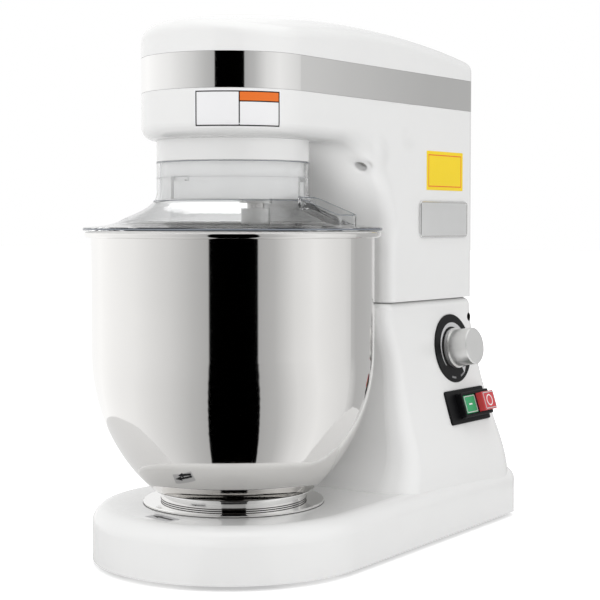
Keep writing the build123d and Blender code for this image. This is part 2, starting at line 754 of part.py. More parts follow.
# Head clamp: grip knob and its stud on the -X side
with BuildPart() as clamp_knob:
    with BuildSketch(clamp_line.offset(clamp_wall + 2)):
        Circle(CLAMP_KNOB_R)
        with PolarLocations(CLAMP_KNOB_R + 3.5, 8):
            Circle(6.5, mode=Mode.SUBTRACT)
    extrude(amount=CLAMP_KNOB_T)
    fillet(clamp_knob.faces().sort_by(Axis.X)[0].edges(), 2)
    with BuildSketch(clamp_line.offset(clamp_wall + 0.8)):
        Circle(10)
    extrude(amount=1.2)
    with BuildSketch(clamp_line.offset(clamp_wall)):
        Circle(CLAMP_STUD_R)
    extrude(amount=12, mode=Mode.SUBTRACT)
keep(clamp_knob, "clamp_knob")

with BuildPart() as clamp_stud:
    with BuildSketch(clamp_line.offset(clamp_tip)):
        Circle(CLAMP_STUD_R)
    extrude(amount=clamp_wall + 12 - clamp_tip)
    chamfer(clamp_stud.edges().filter_by(GeomType.CIRCLE).sort_by(Axis.X)[-1], 0.8)
keep(clamp_stud, "clamp_stud")

# Head casting: nose, throat, upper column, hinge lug and clamp tongue
with BuildPart() as head_casting:
    extrude(head_profile(0, BAND_LOW_Z), COLUMN_HALF + 2, both=True)
    extrude(Plane.XY.offset(SPLIT_Z) * head_outline(0), 200, mode=Mode.INTERSECT)
    flats = head_casting.faces()
    under = flats.filter_by(Plane.XY).filter_by_position(Axis.Z, HEAD_UNDER_Z - 1, HEAD_UNDER_Z + 1)
    front = flats.filter_by(Plane.XZ)
    front = front.filter_by_position(Axis.Y, COLUMN_FRONT_Y - 1, COLUMN_FRONT_Y + 1)
    arc = head_casting.edges().filter_by(GeomType.CIRCLE).filter_by(Plane.YZ)
    rim = under.edges().filter_by(Axis.Y) + under.edges().filter_by(GeomType.CIRCLE)
    fillet(rim + front.edges().filter_by(Axis.Z) + arc, COLUMN_CORNER_R - 0.5)
    extrude(Plane.XY.offset(BAND_LOW_Z) * head_outline(BAND_T + 0.1), BAND_H)
    inner = extrude(head_profile(HEAD_WALL, BAND_TOP_Z + 2), COLUMN_HALF, both=True, mode=Mode.PRIVATE)
    inner = inner & extrude(Plane.XY.offset(SPLIT_Z) * head_outline(HEAD_WALL), 300, mode=Mode.PRIVATE)
    add(inner, mode=Mode.SUBTRACT)
    for side in (-1, 1):
        with BuildSketch(Plane.XY.offset(MOTOR_FACE_Z - 10)):
            with Locations((side * LEDGE_X, MOTOR_Y)):
                Rectangle(2 * (COLUMN_HALF - HEAD_WALL / 2 - LEDGE_X), 100)
        extrude(amount=10)
    with BuildSketch(Plane.XY.offset(MOTOR_FACE_Z - 10)):
        with Locations((0, MOTOR_Y)):
            with GridLocations(2 * LEDGE_X, 80, 2, 2):
                Circle(SCREW_R + RUN)
    extrude(amount=12, mode=Mode.SUBTRACT)
    with BuildSketch(bowl_floor.offset(HEAD_UNDER_Z - 10)):
        Circle(GUARD_NECK_R + CLEAR)
    extrude(amount=10, mode=Mode.SUBTRACT)
    with BuildSketch(bowl_floor.offset(HEAD_UNDER_Z - 2)):
        Circle(HOUSING_R + RUN)
        with PolarLocations(COLLAR_SCREW_R, 4, 45):
            Circle(SCREW_R + CLEAR)
        with PolarLocations(HOUSING_SCREW_R, 4, 0):
            Circle(SCREW_R + RUN)
    extrude(amount=12, mode=Mode.SUBTRACT)
    for place in (throat_right, throat_left):
        with BuildSketch(place.offset(-1)):
            Circle(THROAT_HOLE_R + 4)
        extrude(amount=-21)
        with BuildSketch(place.offset(5)):
            Circle(THROAT_HOLE_R)
        extrude(amount=-14, mode=Mode.SUBTRACT)
        with BuildSketch(place):
            Circle(SCREW_R + RUN)
        extrude(amount=-30, mode=Mode.SUBTRACT)
    with BuildSketch(Plane(origin=(0, COLUMN_BACK_Y, VENT_Z), x_dir=(-1, 0, 0), z_dir=(0, 1, 0))):
        with GridLocations(1, 9, 1, 7):
            SlotOverall(70, 4)
    extrude(amount=-20, mode=Mode.SUBTRACT)
    with BuildSketch(hinge_line):
        Circle(LUG_R)
        with Locations((0, (HEAD_LOW_Z - HINGE_Z) / 2 + 1)):
            Rectangle(2 * LUG_R, HEAD_LOW_Z - HINGE_Z + 2)
    extrude(amount=LUG_HALF, both=True)
    with BuildSketch(hinge_line):
        Circle(HINGE_PIN_R + HINGE_BUSH_T)
    extrude(amount=100, both=True, mode=Mode.SUBTRACT)
    with BuildSketch(Plane.XY.offset(CLAMP_Z - 12)):
        with Locations((-TONGUE_X, CLAMP_Y)):
            Rectangle(TONGUE_T, 26)
    extrude(amount=HEAD_LOW_Z - CLAMP_Z + 13)
keep(head_casting, "head_casting")

# Top cover over the head
with BuildPart() as top_cover:
    extrude(Plane.XY.offset(BAND_TOP_Z) * head_outline(0), 100)
    revolve(crown_section(0), axis=crown_axis, mode=Mode.INTERSECT)
    fillet(top_cover.faces().sort_by(Axis.Z)[-1].edges(), COVER_EDGE_R)
    inner = extrude(Plane.XY.offset(BAND_TOP_Z) * head_outline(COVER_WALL), 100, mode=Mode.PRIVATE)
    inner = inner & revolve(crown_section(COVER_WALL), axis=crown_axis, mode=Mode.PRIVATE)
    inner = inner.fillet(COVER_EDGE_R - COVER_WALL, inner.faces().sort_by(Axis.Z)[-1].edges())
    add(inner, mode=Mode.SUBTRACT)
keep(top_cover, "top_cover")

# Polished band between the casting and the cover
with BuildPart() as trim_band:
    extrude(Plane.XY.offset(BAND_LOW_Z + 0.2) * head_outline(0), BAND_H - 0.4)
    extrude(Plane.XY.offset(BAND_LOW_Z) * head_outline(BAND_T), BAND_H, mode=Mode.SUBTRACT)
keep(trim_band, "trim_band")

# Bare plate on the side of the upper column
with BuildPart() as name_plate:
    with BuildSketch(Plane(origin=(COLUMN_HALF, NAME_Y, NAME_Z), x_dir=(0, 1, 0), z_dir=(1, 0, 0))):
        RectangleRounded(NAME_W, NAME_H, 6)
    extrude(amount=NAME_T)
    fillet(name_plate.faces().sort_by(Axis.X)[-1].edges(), 0.8)
keep(name_plate, "name_plate")

# Bushes pressed into the hinge lug
with BuildPart() as hinge_bushes:
    for end in (-LUG_HALF, LUG_HALF - 16):
        with BuildSketch(hinge_line.offset(end)):
            Circle(HINGE_PIN_R + HINGE_BUSH_T)
            Circle(HINGE_PIN_R + RUN, mode=Mode.SUBTRACT)
        extrude(amount=16)
keep(hinge_bushes, "hinge_bushes")

# Sunk screws in the throat
with BuildPart() as throat_screws:
    for place in (throat_right, throat_left):
        with BuildSketch(place.offset(-9)):
            Circle(THROAT_HOLE_R - 0.8)
        extrude(amount=4)
        with BuildSketch(place.offset(-21)):
            Circle(SCREW_R)
        extrude(amount=12)
        with BuildSketch(place.offset(-5)):
            RegularPolygon(2.4, 6)
        extrude(amount=-2.4, mode=Mode.SUBTRACT)
keep(throat_screws, "throat_screws")

# Collar under the head with three bayonet channels for the guard
with BuildPart() as guard_collar:
    with BuildSketch(bowl_floor.offset(COLLAR_LOW_Z)):
        Circle(COLLAR_LOW_R)
    extrude(amount=HEAD_UNDER_Z - COLLAR_LOW_Z)
    with BuildSketch(bowl_floor.offset(COLLAR_STEP_Z)):
        Circle(GUARD_NECK_R)
    extrude(amount=HEAD_UNDER_Z - COLLAR_STEP_Z)
    with BuildSketch(bowl_floor.offset(COLLAR_LOW_Z)):
        Circle(COLLAR_BORE_R)
    extrude(amount=HEAD_UNDER_Z - COLLAR_LOW_Z, mode=Mode.SUBTRACT)
    for turn in pin_turns:
        with BuildSketch(spoke_plane(turn - GUARD_TWIST - 2.2)):
            with Locations((COLLAR_LOW_R - CHANNEL_D, PIN_Z)):
                Rectangle(10, 2 * (PIN_R + CLEAR), align=(Align.MIN, Align.CENTER))
        revolve(axis=bowl_axis, revolution_arc=GUARD_TWIST + 4.4, mode=Mode.SUBTRACT)
        with BuildSketch(bowl_floor.offset(COLLAR_LOW_Z)):
            with PolarLocations(COLLAR_LOW_R + 5 - CHANNEL_D, 1, turn - GUARD_TWIST):
                Rectangle(10, 2 * (PIN_R + CLEAR))
        extrude(amount=PIN_Z - COLLAR_LOW_Z, mode=Mode.SUBTRACT)
    with BuildSketch(bowl_floor.offset(HEAD_UNDER_Z - 14)):
        with PolarLocations(COLLAR_SCREW_R, 4, 45):
            Circle(SCREW_R + RUN)
    extrude(amount=20, mode=Mode.SUBTRACT)
keep(guard_collar, "guard_collar")

with BuildPart() as collar_screws:
    with BuildSketch(bowl_floor.offset(HEAD_FLOOR_Z)):
        with PolarLocations(COLLAR_SCREW_R, 4, 45):
            Circle(2 * SCREW_R - 0.5)
    extrude(amount=3.5)
    with BuildSketch(bowl_floor.offset(HEAD_UNDER_Z - 12)):
        with PolarLocations(COLLAR_SCREW_R, 4, 45):
            Circle(SCREW_R)
    extrude(amount=12 + HEAD_WALL)
keep(collar_screws, "collar_screws")

# Fixed internal gear inside the collar
ring_spaces = PolarLocations(0, RING_TEETH, 90) * gear_tooth(
    RING_TEETH, RING_R - 0.75 * GEAR_MODULE, RING_R + 1.25 * GEAR_MODULE, BACKLASH / 4)
with BuildPart() as ring_gear:
    with BuildSketch(bowl_floor.offset(GEAR_Z)):
        Circle(COLLAR_BORE_R - RUN)
        Circle(RING_R - 0.75 * GEAR_MODULE, mode=Mode.SUBTRACT)
        add(ring_spaces, mode=Mode.SUBTRACT)
    extrude(amount=GEAR_T)
keep(ring_gear, "ring_gear")

# Bearing housing through the head floor
with BuildPart() as bearing_housing:
    with BuildSketch(bowl_floor.offset(HOUSING_LOW_Z)):
        Circle(HOUSING_R)
    extrude(amount=HOUSING_TOP_Z - HOUSING_LOW_Z)
    with BuildSketch(bowl_floor.offset(HEAD_FLOOR_Z)):
        Circle(HOUSING_FLANGE_R)
    extrude(amount=6)
    with BuildSketch(bowl_floor.offset(HOUSING_LOW_Z)):
        Circle(MAIN_SHAFT_R + 4)
    extrude(amount=100, mode=Mode.SUBTRACT)
    with BuildSketch(bowl_floor.offset(HOUSING_LOW_Z)):
        Circle(BEARING_R)
    extrude(amount=BEARING_T + 1, mode=Mode.SUBTRACT)
    with BuildSketch(bowl_floor.offset(HOUSING_TOP_Z - BEARING_T - 1)):
        Circle(BEARING_R)
    extrude(amount=20, mode=Mode.SUBTRACT)
    with BuildSketch(bowl_floor.offset(HEAD_FLOOR_Z)):
        with PolarLocations(HOUSING_SCREW_R, 4):
            Circle(SCREW_R + CLEAR)
    extrude(amount=10, mode=Mode.SUBTRACT)
keep(bearing_housing, "bearing_housing")

with BuildPart() as housing_screws:
    with BuildSketch(bowl_floor.offset(HEAD_FLOOR_Z + 6)):
        with PolarLocations(HOUSING_SCREW_R, 4):
            Circle(2 * SCREW_R - 0.5)
    extrude(amount=3.5)
    with BuildSketch(bowl_floor.offset(HEAD_UNDER_Z)):
        with PolarLocations(HOUSING_SCREW_R, 4):
            Circle(SCREW_R)
    extrude(amount=HEAD_WALL + 6)
keep(housing_screws, "housing_screws")

with BuildPart() as main_bearings:
    for low in (HOUSING_LOW_Z + 1, HOUSING_TOP_Z - BEARING_T - 1):
        with BuildSketch(bowl_floor.offset(low)):
            Circle(BEARING_R - RUN / 2)
            Circle(MAIN_SHAFT_R + RUN, mode=Mode.SUBTRACT)
        extrude(amount=BEARING_T)
keep(main_bearings, "main_bearings")

# Motor: case, stator, bearings, bracket and screws
with BuildPart() as motor_case:
    with BuildSketch(motor_floor.offset(MOTOR_LOW_Z)):
        Circle(MOTOR_R)
    extrude(amount=MOTOR_H)
    fillet(motor_case.edges().group_by(Axis.Z)[0], 5)
    with BuildSketch(motor_floor.offset(MOTOR_LOW_Z + 6)):
        Circle(MOTOR_R - 3)
    extrude(amount=MOTOR_H - 12, mode=Mode.SUBTRACT)
    with BuildSketch(motor_floor.offset(MOTOR_LOW_Z + 2)):
        Circle(MOTOR_BEARING_R)
    extrude(amount=MOTOR_H - 2, mode=Mode.SUBTRACT)
    with BuildSketch(motor_floor.offset(MOTOR_FACE_Z - 6)):
        with PolarLocations(MOTOR_SCREW_PCR, 4, 45):
            Circle(SCREW_R + RUN)
    extrude(amount=6, mode=Mode.SUBTRACT)
keep(motor_case, "motor_case")

with BuildPart() as motor_stator:
    with BuildSketch(motor_floor.offset(MOTOR_LOW_Z + 25)):
        Circle(MOTOR_R - 3 - RUN)
        Circle(ROTOR_R + 0.6, mode=Mode.SUBTRACT)
    extrude(amount=66)
keep(motor_stator, "motor_stator")

with BuildPart() as motor_bearings:
    for low in (MOTOR_LOW_Z + 2, MOTOR_FACE_Z - 8):
        with BuildSketch(motor_floor.offset(low)):
            Circle(MOTOR_BEARING_R - RUN / 2)
            Circle(MOTOR_SHAFT_R + RUN, mode=Mode.SUBTRACT)
        extrude(amount=8)
keep(motor_bearings, "motor_bearings")

with BuildPart() as motor_bracket:
    with BuildSketch(motor_floor.offset(MOTOR_FACE_Z)):
        RectangleRounded(2 * (COLUMN_HALF - HEAD_WALL - 1), 100, 6)
        Circle(MOTOR_BEARING_R - 2, mode=Mode.SUBTRACT)
        with GridLocations(2 * LEDGE_X, 80, 2, 2):
            Circle(SCREW_R + CLEAR, mode=Mode.SUBTRACT)
        with PolarLocations(MOTOR_SCREW_PCR, 4, 45):
            Circle(SCREW_R + CLEAR, mode=Mode.SUBTRACT)
    extrude(amount=5)
keep(motor_bracket, "motor_bracket")

with BuildPart() as bracket_screws:
    with BuildSketch(motor_floor.offset(MOTOR_FACE_Z + 5)):
        with GridLocations(2 * LEDGE_X, 80, 2, 2):
            Circle(2 * SCREW_R - 0.5)
        with PolarLocations(MOTOR_SCREW_PCR, 4, 45):
            Circle(2 * SCREW_R - 0.5)
    extrude(amount=3.5)
    with BuildSketch(motor_floor.offset(MOTOR_FACE_Z - 6)):
        with GridLocations(2 * LEDGE_X, 80, 2, 2):
            Circle(SCREW_R)
        with PolarLocations(MOTOR_SCREW_PCR, 4, 45):
            Circle(SCREW_R)
    extrude(amount=11)
keep(bracket_screws, "bracket_screws")

with BuildPart() as motor_rotor:
    with BuildSketch(motor_floor.offset(MOTOR_LOW_Z + 2.4)):
        Circle(MOTOR_SHAFT_R)
    extrude(amount=PULLEY_Z + PULLEY_H - MOTOR_LOW_Z)
    with BuildSketch(motor_floor.offset(MOTOR_LOW_Z + 25)):
        Circle(ROTOR_R)
    extrude(amount=66)
keep(motor_rotor, "motor_rotor")

with BuildPart() as motor_pulley:
    with BuildSketch(motor_floor.offset(PULLEY_Z)):
        Circle(MOTOR_PULLEY_R + FLANGE)
    extrude(amount=PULLEY_H)
    with BuildSketch(motor_floor.offset(PULLEY_Z + FLANGE_T)):
        Circle(MOTOR_PULLEY_R + FLANGE + 2)
        Circle(MOTOR_PULLEY_R, mode=Mode.SUBTRACT)
    extrude(amount=PULLEY_H - 2 * FLANGE_T, mode=Mode.SUBTRACT)
    with BuildSketch(motor_floor.offset(PULLEY_Z)):
        Circle(MOTOR_SHAFT_R)
    extrude(amount=PULLEY_H, mode=Mode.SUBTRACT)
keep(motor_pulley, "motor_pulley")

# Belt from the motor to the main shaft
with BuildPart() as drive_belt:
    with BuildSketch(Plane.XY.offset(PULLEY_Z + FLANGE_T + CLEAR)):
        add(belt_loop(CLEAR + BELT_T))
        add(belt_loop(CLEAR), mode=Mode.SUBTRACT)
    extrude(amount=PULLEY_H - 2 * FLANGE_T - 2 * CLEAR)
keep(drive_belt, "drive_belt")

# Main shaft, its pulley and the planet carrier
with BuildPart() as main_shaft:
    with BuildSketch(bowl_floor.offset(CARRIER_Z)):
        Circle(MAIN_SHAFT_R)
    extrude(amount=PULLEY_Z + PULLEY_H + 3 - CARRIER_Z)
    chamfer(main_shaft.edges().group_by(Axis.Z)[-1], 0.8)
keep(main_shaft, "main_shaft")

with BuildPart() as main_pulley:
    with BuildSketch(bowl_floor.offset(PULLEY_Z)):
        Circle(MAIN_PULLEY_R + FLANGE)
    extrude(amount=PULLEY_H)
    with BuildSketch(bowl_floor.offset(PULLEY_Z + FLANGE_T)):
        Circle(MAIN_PULLEY_R + FLANGE + 2)
        Circle(MAIN_PULLEY_R, mode=Mode.SUBTRACT)
    extrude(amount=PULLEY_H - 2 * FLANGE_T, mode=Mode.SUBTRACT)
    with BuildSketch(bowl_floor.offset(PULLEY_Z)):
        Circle(MAIN_SHAFT_R)
        with PolarLocations(22, 5):
            Circle(6.5)
    extrude(amount=PULLEY_H, mode=Mode.SUBTRACT)
keep(main_pulley, "main_pulley")

with BuildPart() as planet_carrier:
    with BuildSketch(bowl_floor.offset(CARRIER_Z)):
        Circle(COLLAR_BORE_R - 0.8)
    extrude(amount=CARRIER_T)
    with BuildSketch(bowl_floor.offset(CARRIER_Z)):
        Circle(14)
    extrude(amount=HOUSING_LOW_Z - 1 - CARRIER_Z)
    with BuildSketch(planet_floor.offset(CARRIER_Z - 5)):
        Circle(AGITATOR_R + BUSH_T + 4)
    extrude(amount=6)
    with BuildSketch(bowl_floor.offset(CARRIER_Z - 1)):
        Circle(MAIN_SHAFT_R)
    extrude(amount=40, mode=Mode.SUBTRACT)
    with BuildSketch(planet_floor.offset(CARRIER_Z - 6)):
        Circle(AGITATOR_R + BUSH_T)
    extrude(amount=20, mode=Mode.SUBTRACT)
keep(planet_carrier, "planet_carrier")

with BuildPart() as planet_bush:
    with BuildSketch(planet_floor.offset(CARRIER_Z - 5)):
        Circle(AGITATOR_R + BUSH_T)
        Circle(AGITATOR_R + RUN, mode=Mode.SUBTRACT)
    extrude(amount=CARRIER_T + 5)
keep(planet_bush, "planet_bush")

# Agitator shaft with its planet pinion and drive pin
with BuildPart() as agitator_shaft:
    with BuildSketch(planet_floor.offset(AGITATOR_LOW_Z)):
        Circle(AGITATOR_R)
    extrude(amount=GEAR_Z + GEAR_T - AGITATOR_LOW_Z)
    with BuildSketch(planet_floor.offset(CARRIER_Z + CARRIER_T + CLEAR)):
        Circle(AGITATOR_R + 2)
    extrude(amount=GEAR_Z - CARRIER_Z - CARRIER_T - CLEAR)
    chamfer(agitator_shaft.edges().group_by(Axis.Z)[0], 1)
    with BuildSketch(Plane(origin=(0, PLANET_Y, DRIVE_PIN_Z), x_dir=(1, 0, 0), z_dir=(0, 1, 0))):
        Circle(DRIVE_PIN_R)
    extrude(amount=20, both=True, mode=Mode.SUBTRACT)
keep(agitator_shaft, "agitator_shaft")

pinion_teeth = PolarLocations(0, PINION_TEETH, 90) * gear_tooth(
    PINION_TEETH, PINION_R - 1.25 * GEAR_MODULE, PINION_R + GEAR_MODULE, -BACKLASH / 4)
with BuildPart() as planet_pinion:
    with BuildSketch(planet_floor.offset(GEAR_Z)):
        Circle(PINION_R - 1.25 * GEAR_MODULE)
        add(pinion_teeth)
        Circle(AGITATOR_R, mode=Mode.SUBTRACT)
    extrude(amount=GEAR_T)
keep(planet_pinion, "planet_pinion")

with BuildPart() as drive_pin:
    with BuildSketch(Plane(origin=(0, PLANET_Y, DRIVE_PIN_Z), x_dir=(1, 0, 0), z_dir=(0, 1, 0))):
        Circle(DRIVE_PIN_R)
    extrude(amount=HUB_R + 1.5, both=True)
keep(drive_pin, "drive_pin")

# Flat beater hung on the agitator shaft
beater_plane = Plane(origin=(0, PLANET_Y, 0), x_dir=(1, 0, 0), z_dir=(0, -1, 0))
with BuildPart() as beater:
    with BuildSketch(beater_plane):
        add(blade_outline(0))
        add(blade_outline(BEATER_RAIL), mode=Mode.SUBTRACT)
        with Locations((0, BEATER_LOW_Z + 1)):
            Rectangle(BEATER_RAIL, BEATER_TOP_Z - BEATER_LOW_Z - 2, align=(Align.CENTER, Align.MIN))
        with Locations((0, BEATER_LOW_Z + 45), (0, BEATER_LOW_Z + 95)):
            Rectangle(1.6 * BEATER_HALF, 0.75 * BEATER_RAIL)
    extrude(amount=BEATER_T / 2, both=True)
    with BuildSketch(planet_floor.offset(BEATER_TOP_Z - 6)):
        Circle(HUB_R)
    extrude(amount=HUB_TOP_Z - BEATER_TOP_Z + 6)
    with BuildSketch(planet_floor.offset(AGITATOR_LOW_Z - 1)):
        Circle(AGITATOR_R + RUN)
    extrude(amount=60, mode=Mode.SUBTRACT)
    with BuildSketch(Plane(origin=(0, PLANET_Y, DRIVE_PIN_Z), x_dir=(1, 0, 0), z_dir=(0, 1, 0))):
        Circle(DRIVE_PIN_R + RUN)
        with Locations((0, 20)):
            Rectangle(2 * (DRIVE_PIN_R + RUN), 40)
    extrude(amount=30, both=True, mode=Mode.SUBTRACT)
keep(beater, "beater")

# Clear guard over the bowl, with a feed opening in a raised curb
chute_floor = bowl_floor.rotated((0, 0, CHUTE_ANGLE))
chute_mid = (CHUTE_IN_R + CHUTE_OUT_R) / 2
chute_long = CHUTE_OUT_R - CHUTE_IN_R
chute_up = chute_floor.x_dir * sin(chute_lean) + Vector(0, 0, cos(chute_lean))
chute_top = Plane(origin=chute_floor.from_local_coords((chute_mid, 0, CHUTE_MID_Z + CHUTE_H)),
                  x_dir=chute_floor.y_dir, z_dir=chute_up)
with BuildPart() as splash_guard:
    with BuildSketch(chute_floor.offset(255)):
        with Locations((chute_mid, 0)):
            RectangleRounded(chute_long, CHUTE_W, 6)
    extrude(amount=60)
    with BuildSketch(chute_top):
        Rectangle(200, 200)
    extrude(amount=60, mode=Mode.SUBTRACT)
    revolve(guard_under(0), axis=bowl_axis)
    revolve(guard_under(GUARD_T), axis=bowl_axis, mode=Mode.SUBTRACT)
    with BuildSketch(chute_floor.offset(250)):
        with Locations((chute_mid, 0)):
            RectangleRounded(chute_long - 2 * CHUTE_T, CHUTE_W - 2 * CHUTE_T, 6 - CHUTE_T)
    extrude(amount=60, mode=Mode.SUBTRACT)
    for turn in pin_turns:
        with BuildSketch(rim_plane(turn, COLLAR_LOW_R - CHANNEL_D + CLEAR)):
            with Locations((0, PIN_Z)):
                Circle(PIN_R)
        extrude(amount=GUARD_NECK_R - COLLAR_LOW_R + CHANNEL_D - CLEAR - 1)
keep(splash_guard, "splash_guard")

# Bowl with a rolled rim
with BuildPart() as bowl:
    with BuildSketch(bowl_section):
        add(bowl_body(0))
        add(bowl_body(BOWL_T), mode=Mode.SUBTRACT)
        with Locations((BOWL_R + RIM_BEAD_R - RIM_LAP, RIM_TOP_Z - RIM_BEAD_R)):
            Circle(RIM_BEAD_R)
    revolve(axis=bowl_axis)
keep(bowl, "bowl")

# Foot ring under the bowl with three bayonet lugs inside
with BuildPart() as bowl_foot:
    with BuildSketch(bowl_section):
        with BuildLine():
            low = SEAT_TOP_Z + CLEAR
            inner = FOOT_RING_R - FOOT_RING_T
            Polyline((inner, low), (FOOT_RING_R, low), (FOOT_RING_R, BOWL_BOTTOM_Z - 2.4),
                     (FOOT_RING_R + 4.5, BOWL_BOTTOM_Z - 1.4), (FOOT_RING_R + 4.5, BOWL_BOTTOM_Z),
                     (inner, BOWL_BOTTOM_Z), (inner, low))
        make_face()
    revolve(axis=bowl_axis)
    for turn in (30, 150, 270):
        with BuildSketch(spoke_plane(turn - LUG_SPAN / 2)):
            with Locations((BAYONET_R + 1, low)):
                Rectangle(FOOT_RING_R - BAYONET_R - 2, HOOK_LOW_Z - low - CLEAR,
                          align=(Align.MIN, Align.MIN))
        revolve(axis=bowl_axis, revolution_arc=LUG_SPAN)
keep(bowl_foot, "bowl_foot")
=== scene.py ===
"""A planetary stand mixer: white cast stand, tilting head, steel bowl and clear bowl guard.

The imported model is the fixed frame. The classes below add the pieces that need finer surfaces,
dress every carried-over piece, and set up a plain white studio. All lengths are in metres.
"""
import logging
import math
from dataclasses import dataclass
from enum import Enum
from typing import Optional

import bpy
import numpy as np
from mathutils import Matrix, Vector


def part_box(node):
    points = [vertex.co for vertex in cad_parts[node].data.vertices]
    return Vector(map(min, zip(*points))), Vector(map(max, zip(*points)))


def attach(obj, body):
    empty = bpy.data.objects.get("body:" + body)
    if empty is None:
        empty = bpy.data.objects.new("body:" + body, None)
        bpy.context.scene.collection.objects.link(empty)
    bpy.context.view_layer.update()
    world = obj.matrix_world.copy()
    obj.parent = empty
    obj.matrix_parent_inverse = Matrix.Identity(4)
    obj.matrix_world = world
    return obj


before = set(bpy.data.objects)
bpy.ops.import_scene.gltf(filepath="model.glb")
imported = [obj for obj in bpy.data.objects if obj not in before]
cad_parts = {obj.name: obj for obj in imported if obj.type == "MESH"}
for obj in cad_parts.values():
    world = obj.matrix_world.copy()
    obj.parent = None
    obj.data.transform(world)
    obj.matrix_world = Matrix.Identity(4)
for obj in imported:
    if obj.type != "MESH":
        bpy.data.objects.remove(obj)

LOG = logging.getLogger("mixer")
MM = 0.001
SKIN = 0.02 * MM
SHARP_EDGE = math.radians(40.0)
HOOP_STEPS = 160
HOOP_WALL = 0.18 * MM
NOISE_ROUGHNESS = 0.55
FINE_DETAIL = 3.0
BROAD_DETAIL = 2.0
BEVEL_SAMPLES = 8
WHITE = (1.0, 1.0, 1.0, 1.0)
BLACK = (0.0, 0.0, 0.0, 1.0)


class Body(Enum):
    """The moving bodies that added pieces ride on."""

    BASE = "base"
    START = "start"
    STOP = "stop"
    HEAD = "head"
    GUARD = "guard"
    BOWL = "bowl"


class Slot(Enum):
    """The record's material slot names."""

    ALUMINIUM = "aluminium"
    BLACK_PLASTIC = "black_plastic"
    CLEAR_PLASTIC = "clear_plastic"
    GREEN_BUTTON = "green_button"
    RED_BUTTON = "red_button"
    STAINLESS = "stainless"
    STEEL = "steel"
    WHITE_PAINT = "white_paint"


# Measures from the frame


@dataclass(frozen=True)
class NodeBox:
    """The box round a carried-over piece at rest, from its lowest to its highest corner."""

    low: tuple[float, ...]
    high: tuple[float, ...]

    @classmethod
    def of(cls, node: str) -> "NodeBox":
        """Read a piece's box from the frame."""
        low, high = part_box(node)
        return cls(tuple(low), tuple(high))

    @property
    def middle(self) -> tuple[float, ...]:
        """The point halfway between the corners."""
        return tuple((a + b) / 2 for a, b in zip(self.low, self.high))

    @property
    def reach(self) -> float:
        """The highest x: half the width of an even piece, or the radius of a round one."""
        return self.high[0]

    @property
    def bottom(self) -> float:
        """The lowest z."""
        return self.low[2]

    @property
    def top(self) -> float:
        """The highest z."""
        return self.high[2]


HEAD_BOX = NodeBox.of("head_casting")
PIN_BOX = NodeBox.of("hinge_pin")
GUARD_BOX = NodeBox.of("splash_guard")
FOOT_BOX = NodeBox.of("bowl_foot")
SEAT_BOX = NodeBox.of("bowl_seat")
BOWL_Y = NodeBox.of("bowl").middle[1]


# Surfaces


def grid_faces(rows: int, cols: int, wrap_rows: bool, wrap_cols: bool) -> np.ndarray:
    """Quads of a grid: each cell joins a point to its next column, next row and the point across.

    Args:
        rows: number of points along the first parameter.
        cols: number of points along the second parameter.
        wrap_rows: whether the last row joins the first.
        wrap_cols: whether the last column joins the first.

    Returns:
        An (n, 4) array of point numbers.
    """
    i = np.arange(rows if wrap_rows else rows - 1)
    j = np.arange(cols if wrap_cols else cols - 1)
    a, b = np.meshgrid(i, j, indexing="ij")
    a1, b1 = (a + 1) % rows, (b + 1) % cols
    cells = [a * cols + b, a * cols + b1, a1 * cols + b1, a1 * cols + b]
    return np.stack(cells, axis=-1).reshape(-1, 4)


def put_mesh(name: str, points: np.ndarray, faces: list) -> bpy.types.Object:
    """Put an array of points and faces into a new smooth-shaded mesh object at the origin.

    Args:
        name: the piece's name.
        points: an (n, 3) array of places in metres.
        faces: lists of point numbers.

    Returns:
        The new object, linked to the scene.
    """
    mesh = bpy.data.meshes.new(name)
    mesh.from_pydata(points.reshape(-1, 3).tolist(), [], faces)
    mesh.polygons.foreach_set("use_smooth", np.ones(len(mesh.polygons), dtype=bool))
    mesh.set_sharp_from_angle(angle=SHARP_EDGE)
    mesh.validate()
    mesh.update()
    piece = bpy.data.objects.new(name, mesh)
    bpy.context.scene.collection.objects.link(piece)
    return piece


def put_grid(name: str, points: np.ndarray, wrap_rows: bool = False, wrap_cols: bool = False,
             caps: bool = False) -> bpy.types.Object:
    """Put a (rows, cols, 3) grid of points into a mesh, with flat caps on its end rows if asked.

    Args:
        name: the piece's name.
        points: the grid of places.
        wrap_rows: whether the last row joins the first.
        wrap_cols: whether the last column joins the first.
        caps: whether the first and last rows are closed by one face each.

    Returns:
        The new object.
    """
    rows, cols = points.shape[:2]
    faces = grid_faces(rows, cols, wrap_rows, wrap_cols).tolist()
    if caps:
        faces.append(list(range(cols))[::-1])
        faces.append(list(range((rows - 1) * cols, rows * cols)))
    return put_mesh(name, points, faces)


def put_sheet(name: str, points: np.ndarray) -> bpy.types.Object:
    """A closed strip or sheet: its columns join round, and flat caps close its end rows."""
    return put_grid(name, points, wrap_cols=True, caps=True)


def put_ring(name: str, points: np.ndarray) -> bpy.types.Object:
    """A closed ring: its rows and its columns both join round."""
    return put_grid(name, points, wrap_rows=True, wrap_cols=True)


def revolved(profile: np.ndarray, turns: int, centre: tuple[float, float]) -> np.ndarray:
    """A profile of (radius, height) turned about an upright axis: x and y are radius times cos and sin.

    Args:
        profile: an (n, 2) array, in metres.
        turns: number of steps round.
        centre: the axis, as x and y.

    Returns:
        An (n, turns, 3) grid.
    """
    angle = np.linspace(0.0, 2.0 * np.pi, turns, endpoint=False)
    radius, height = profile[:, :1], profile[:, 1:]
    x = centre[0] + radius * np.cos(angle)
    y = centre[1] + radius * np.sin(angle)
    return np.stack([x, y, np.broadcast_to(height, x.shape)], axis=-1)


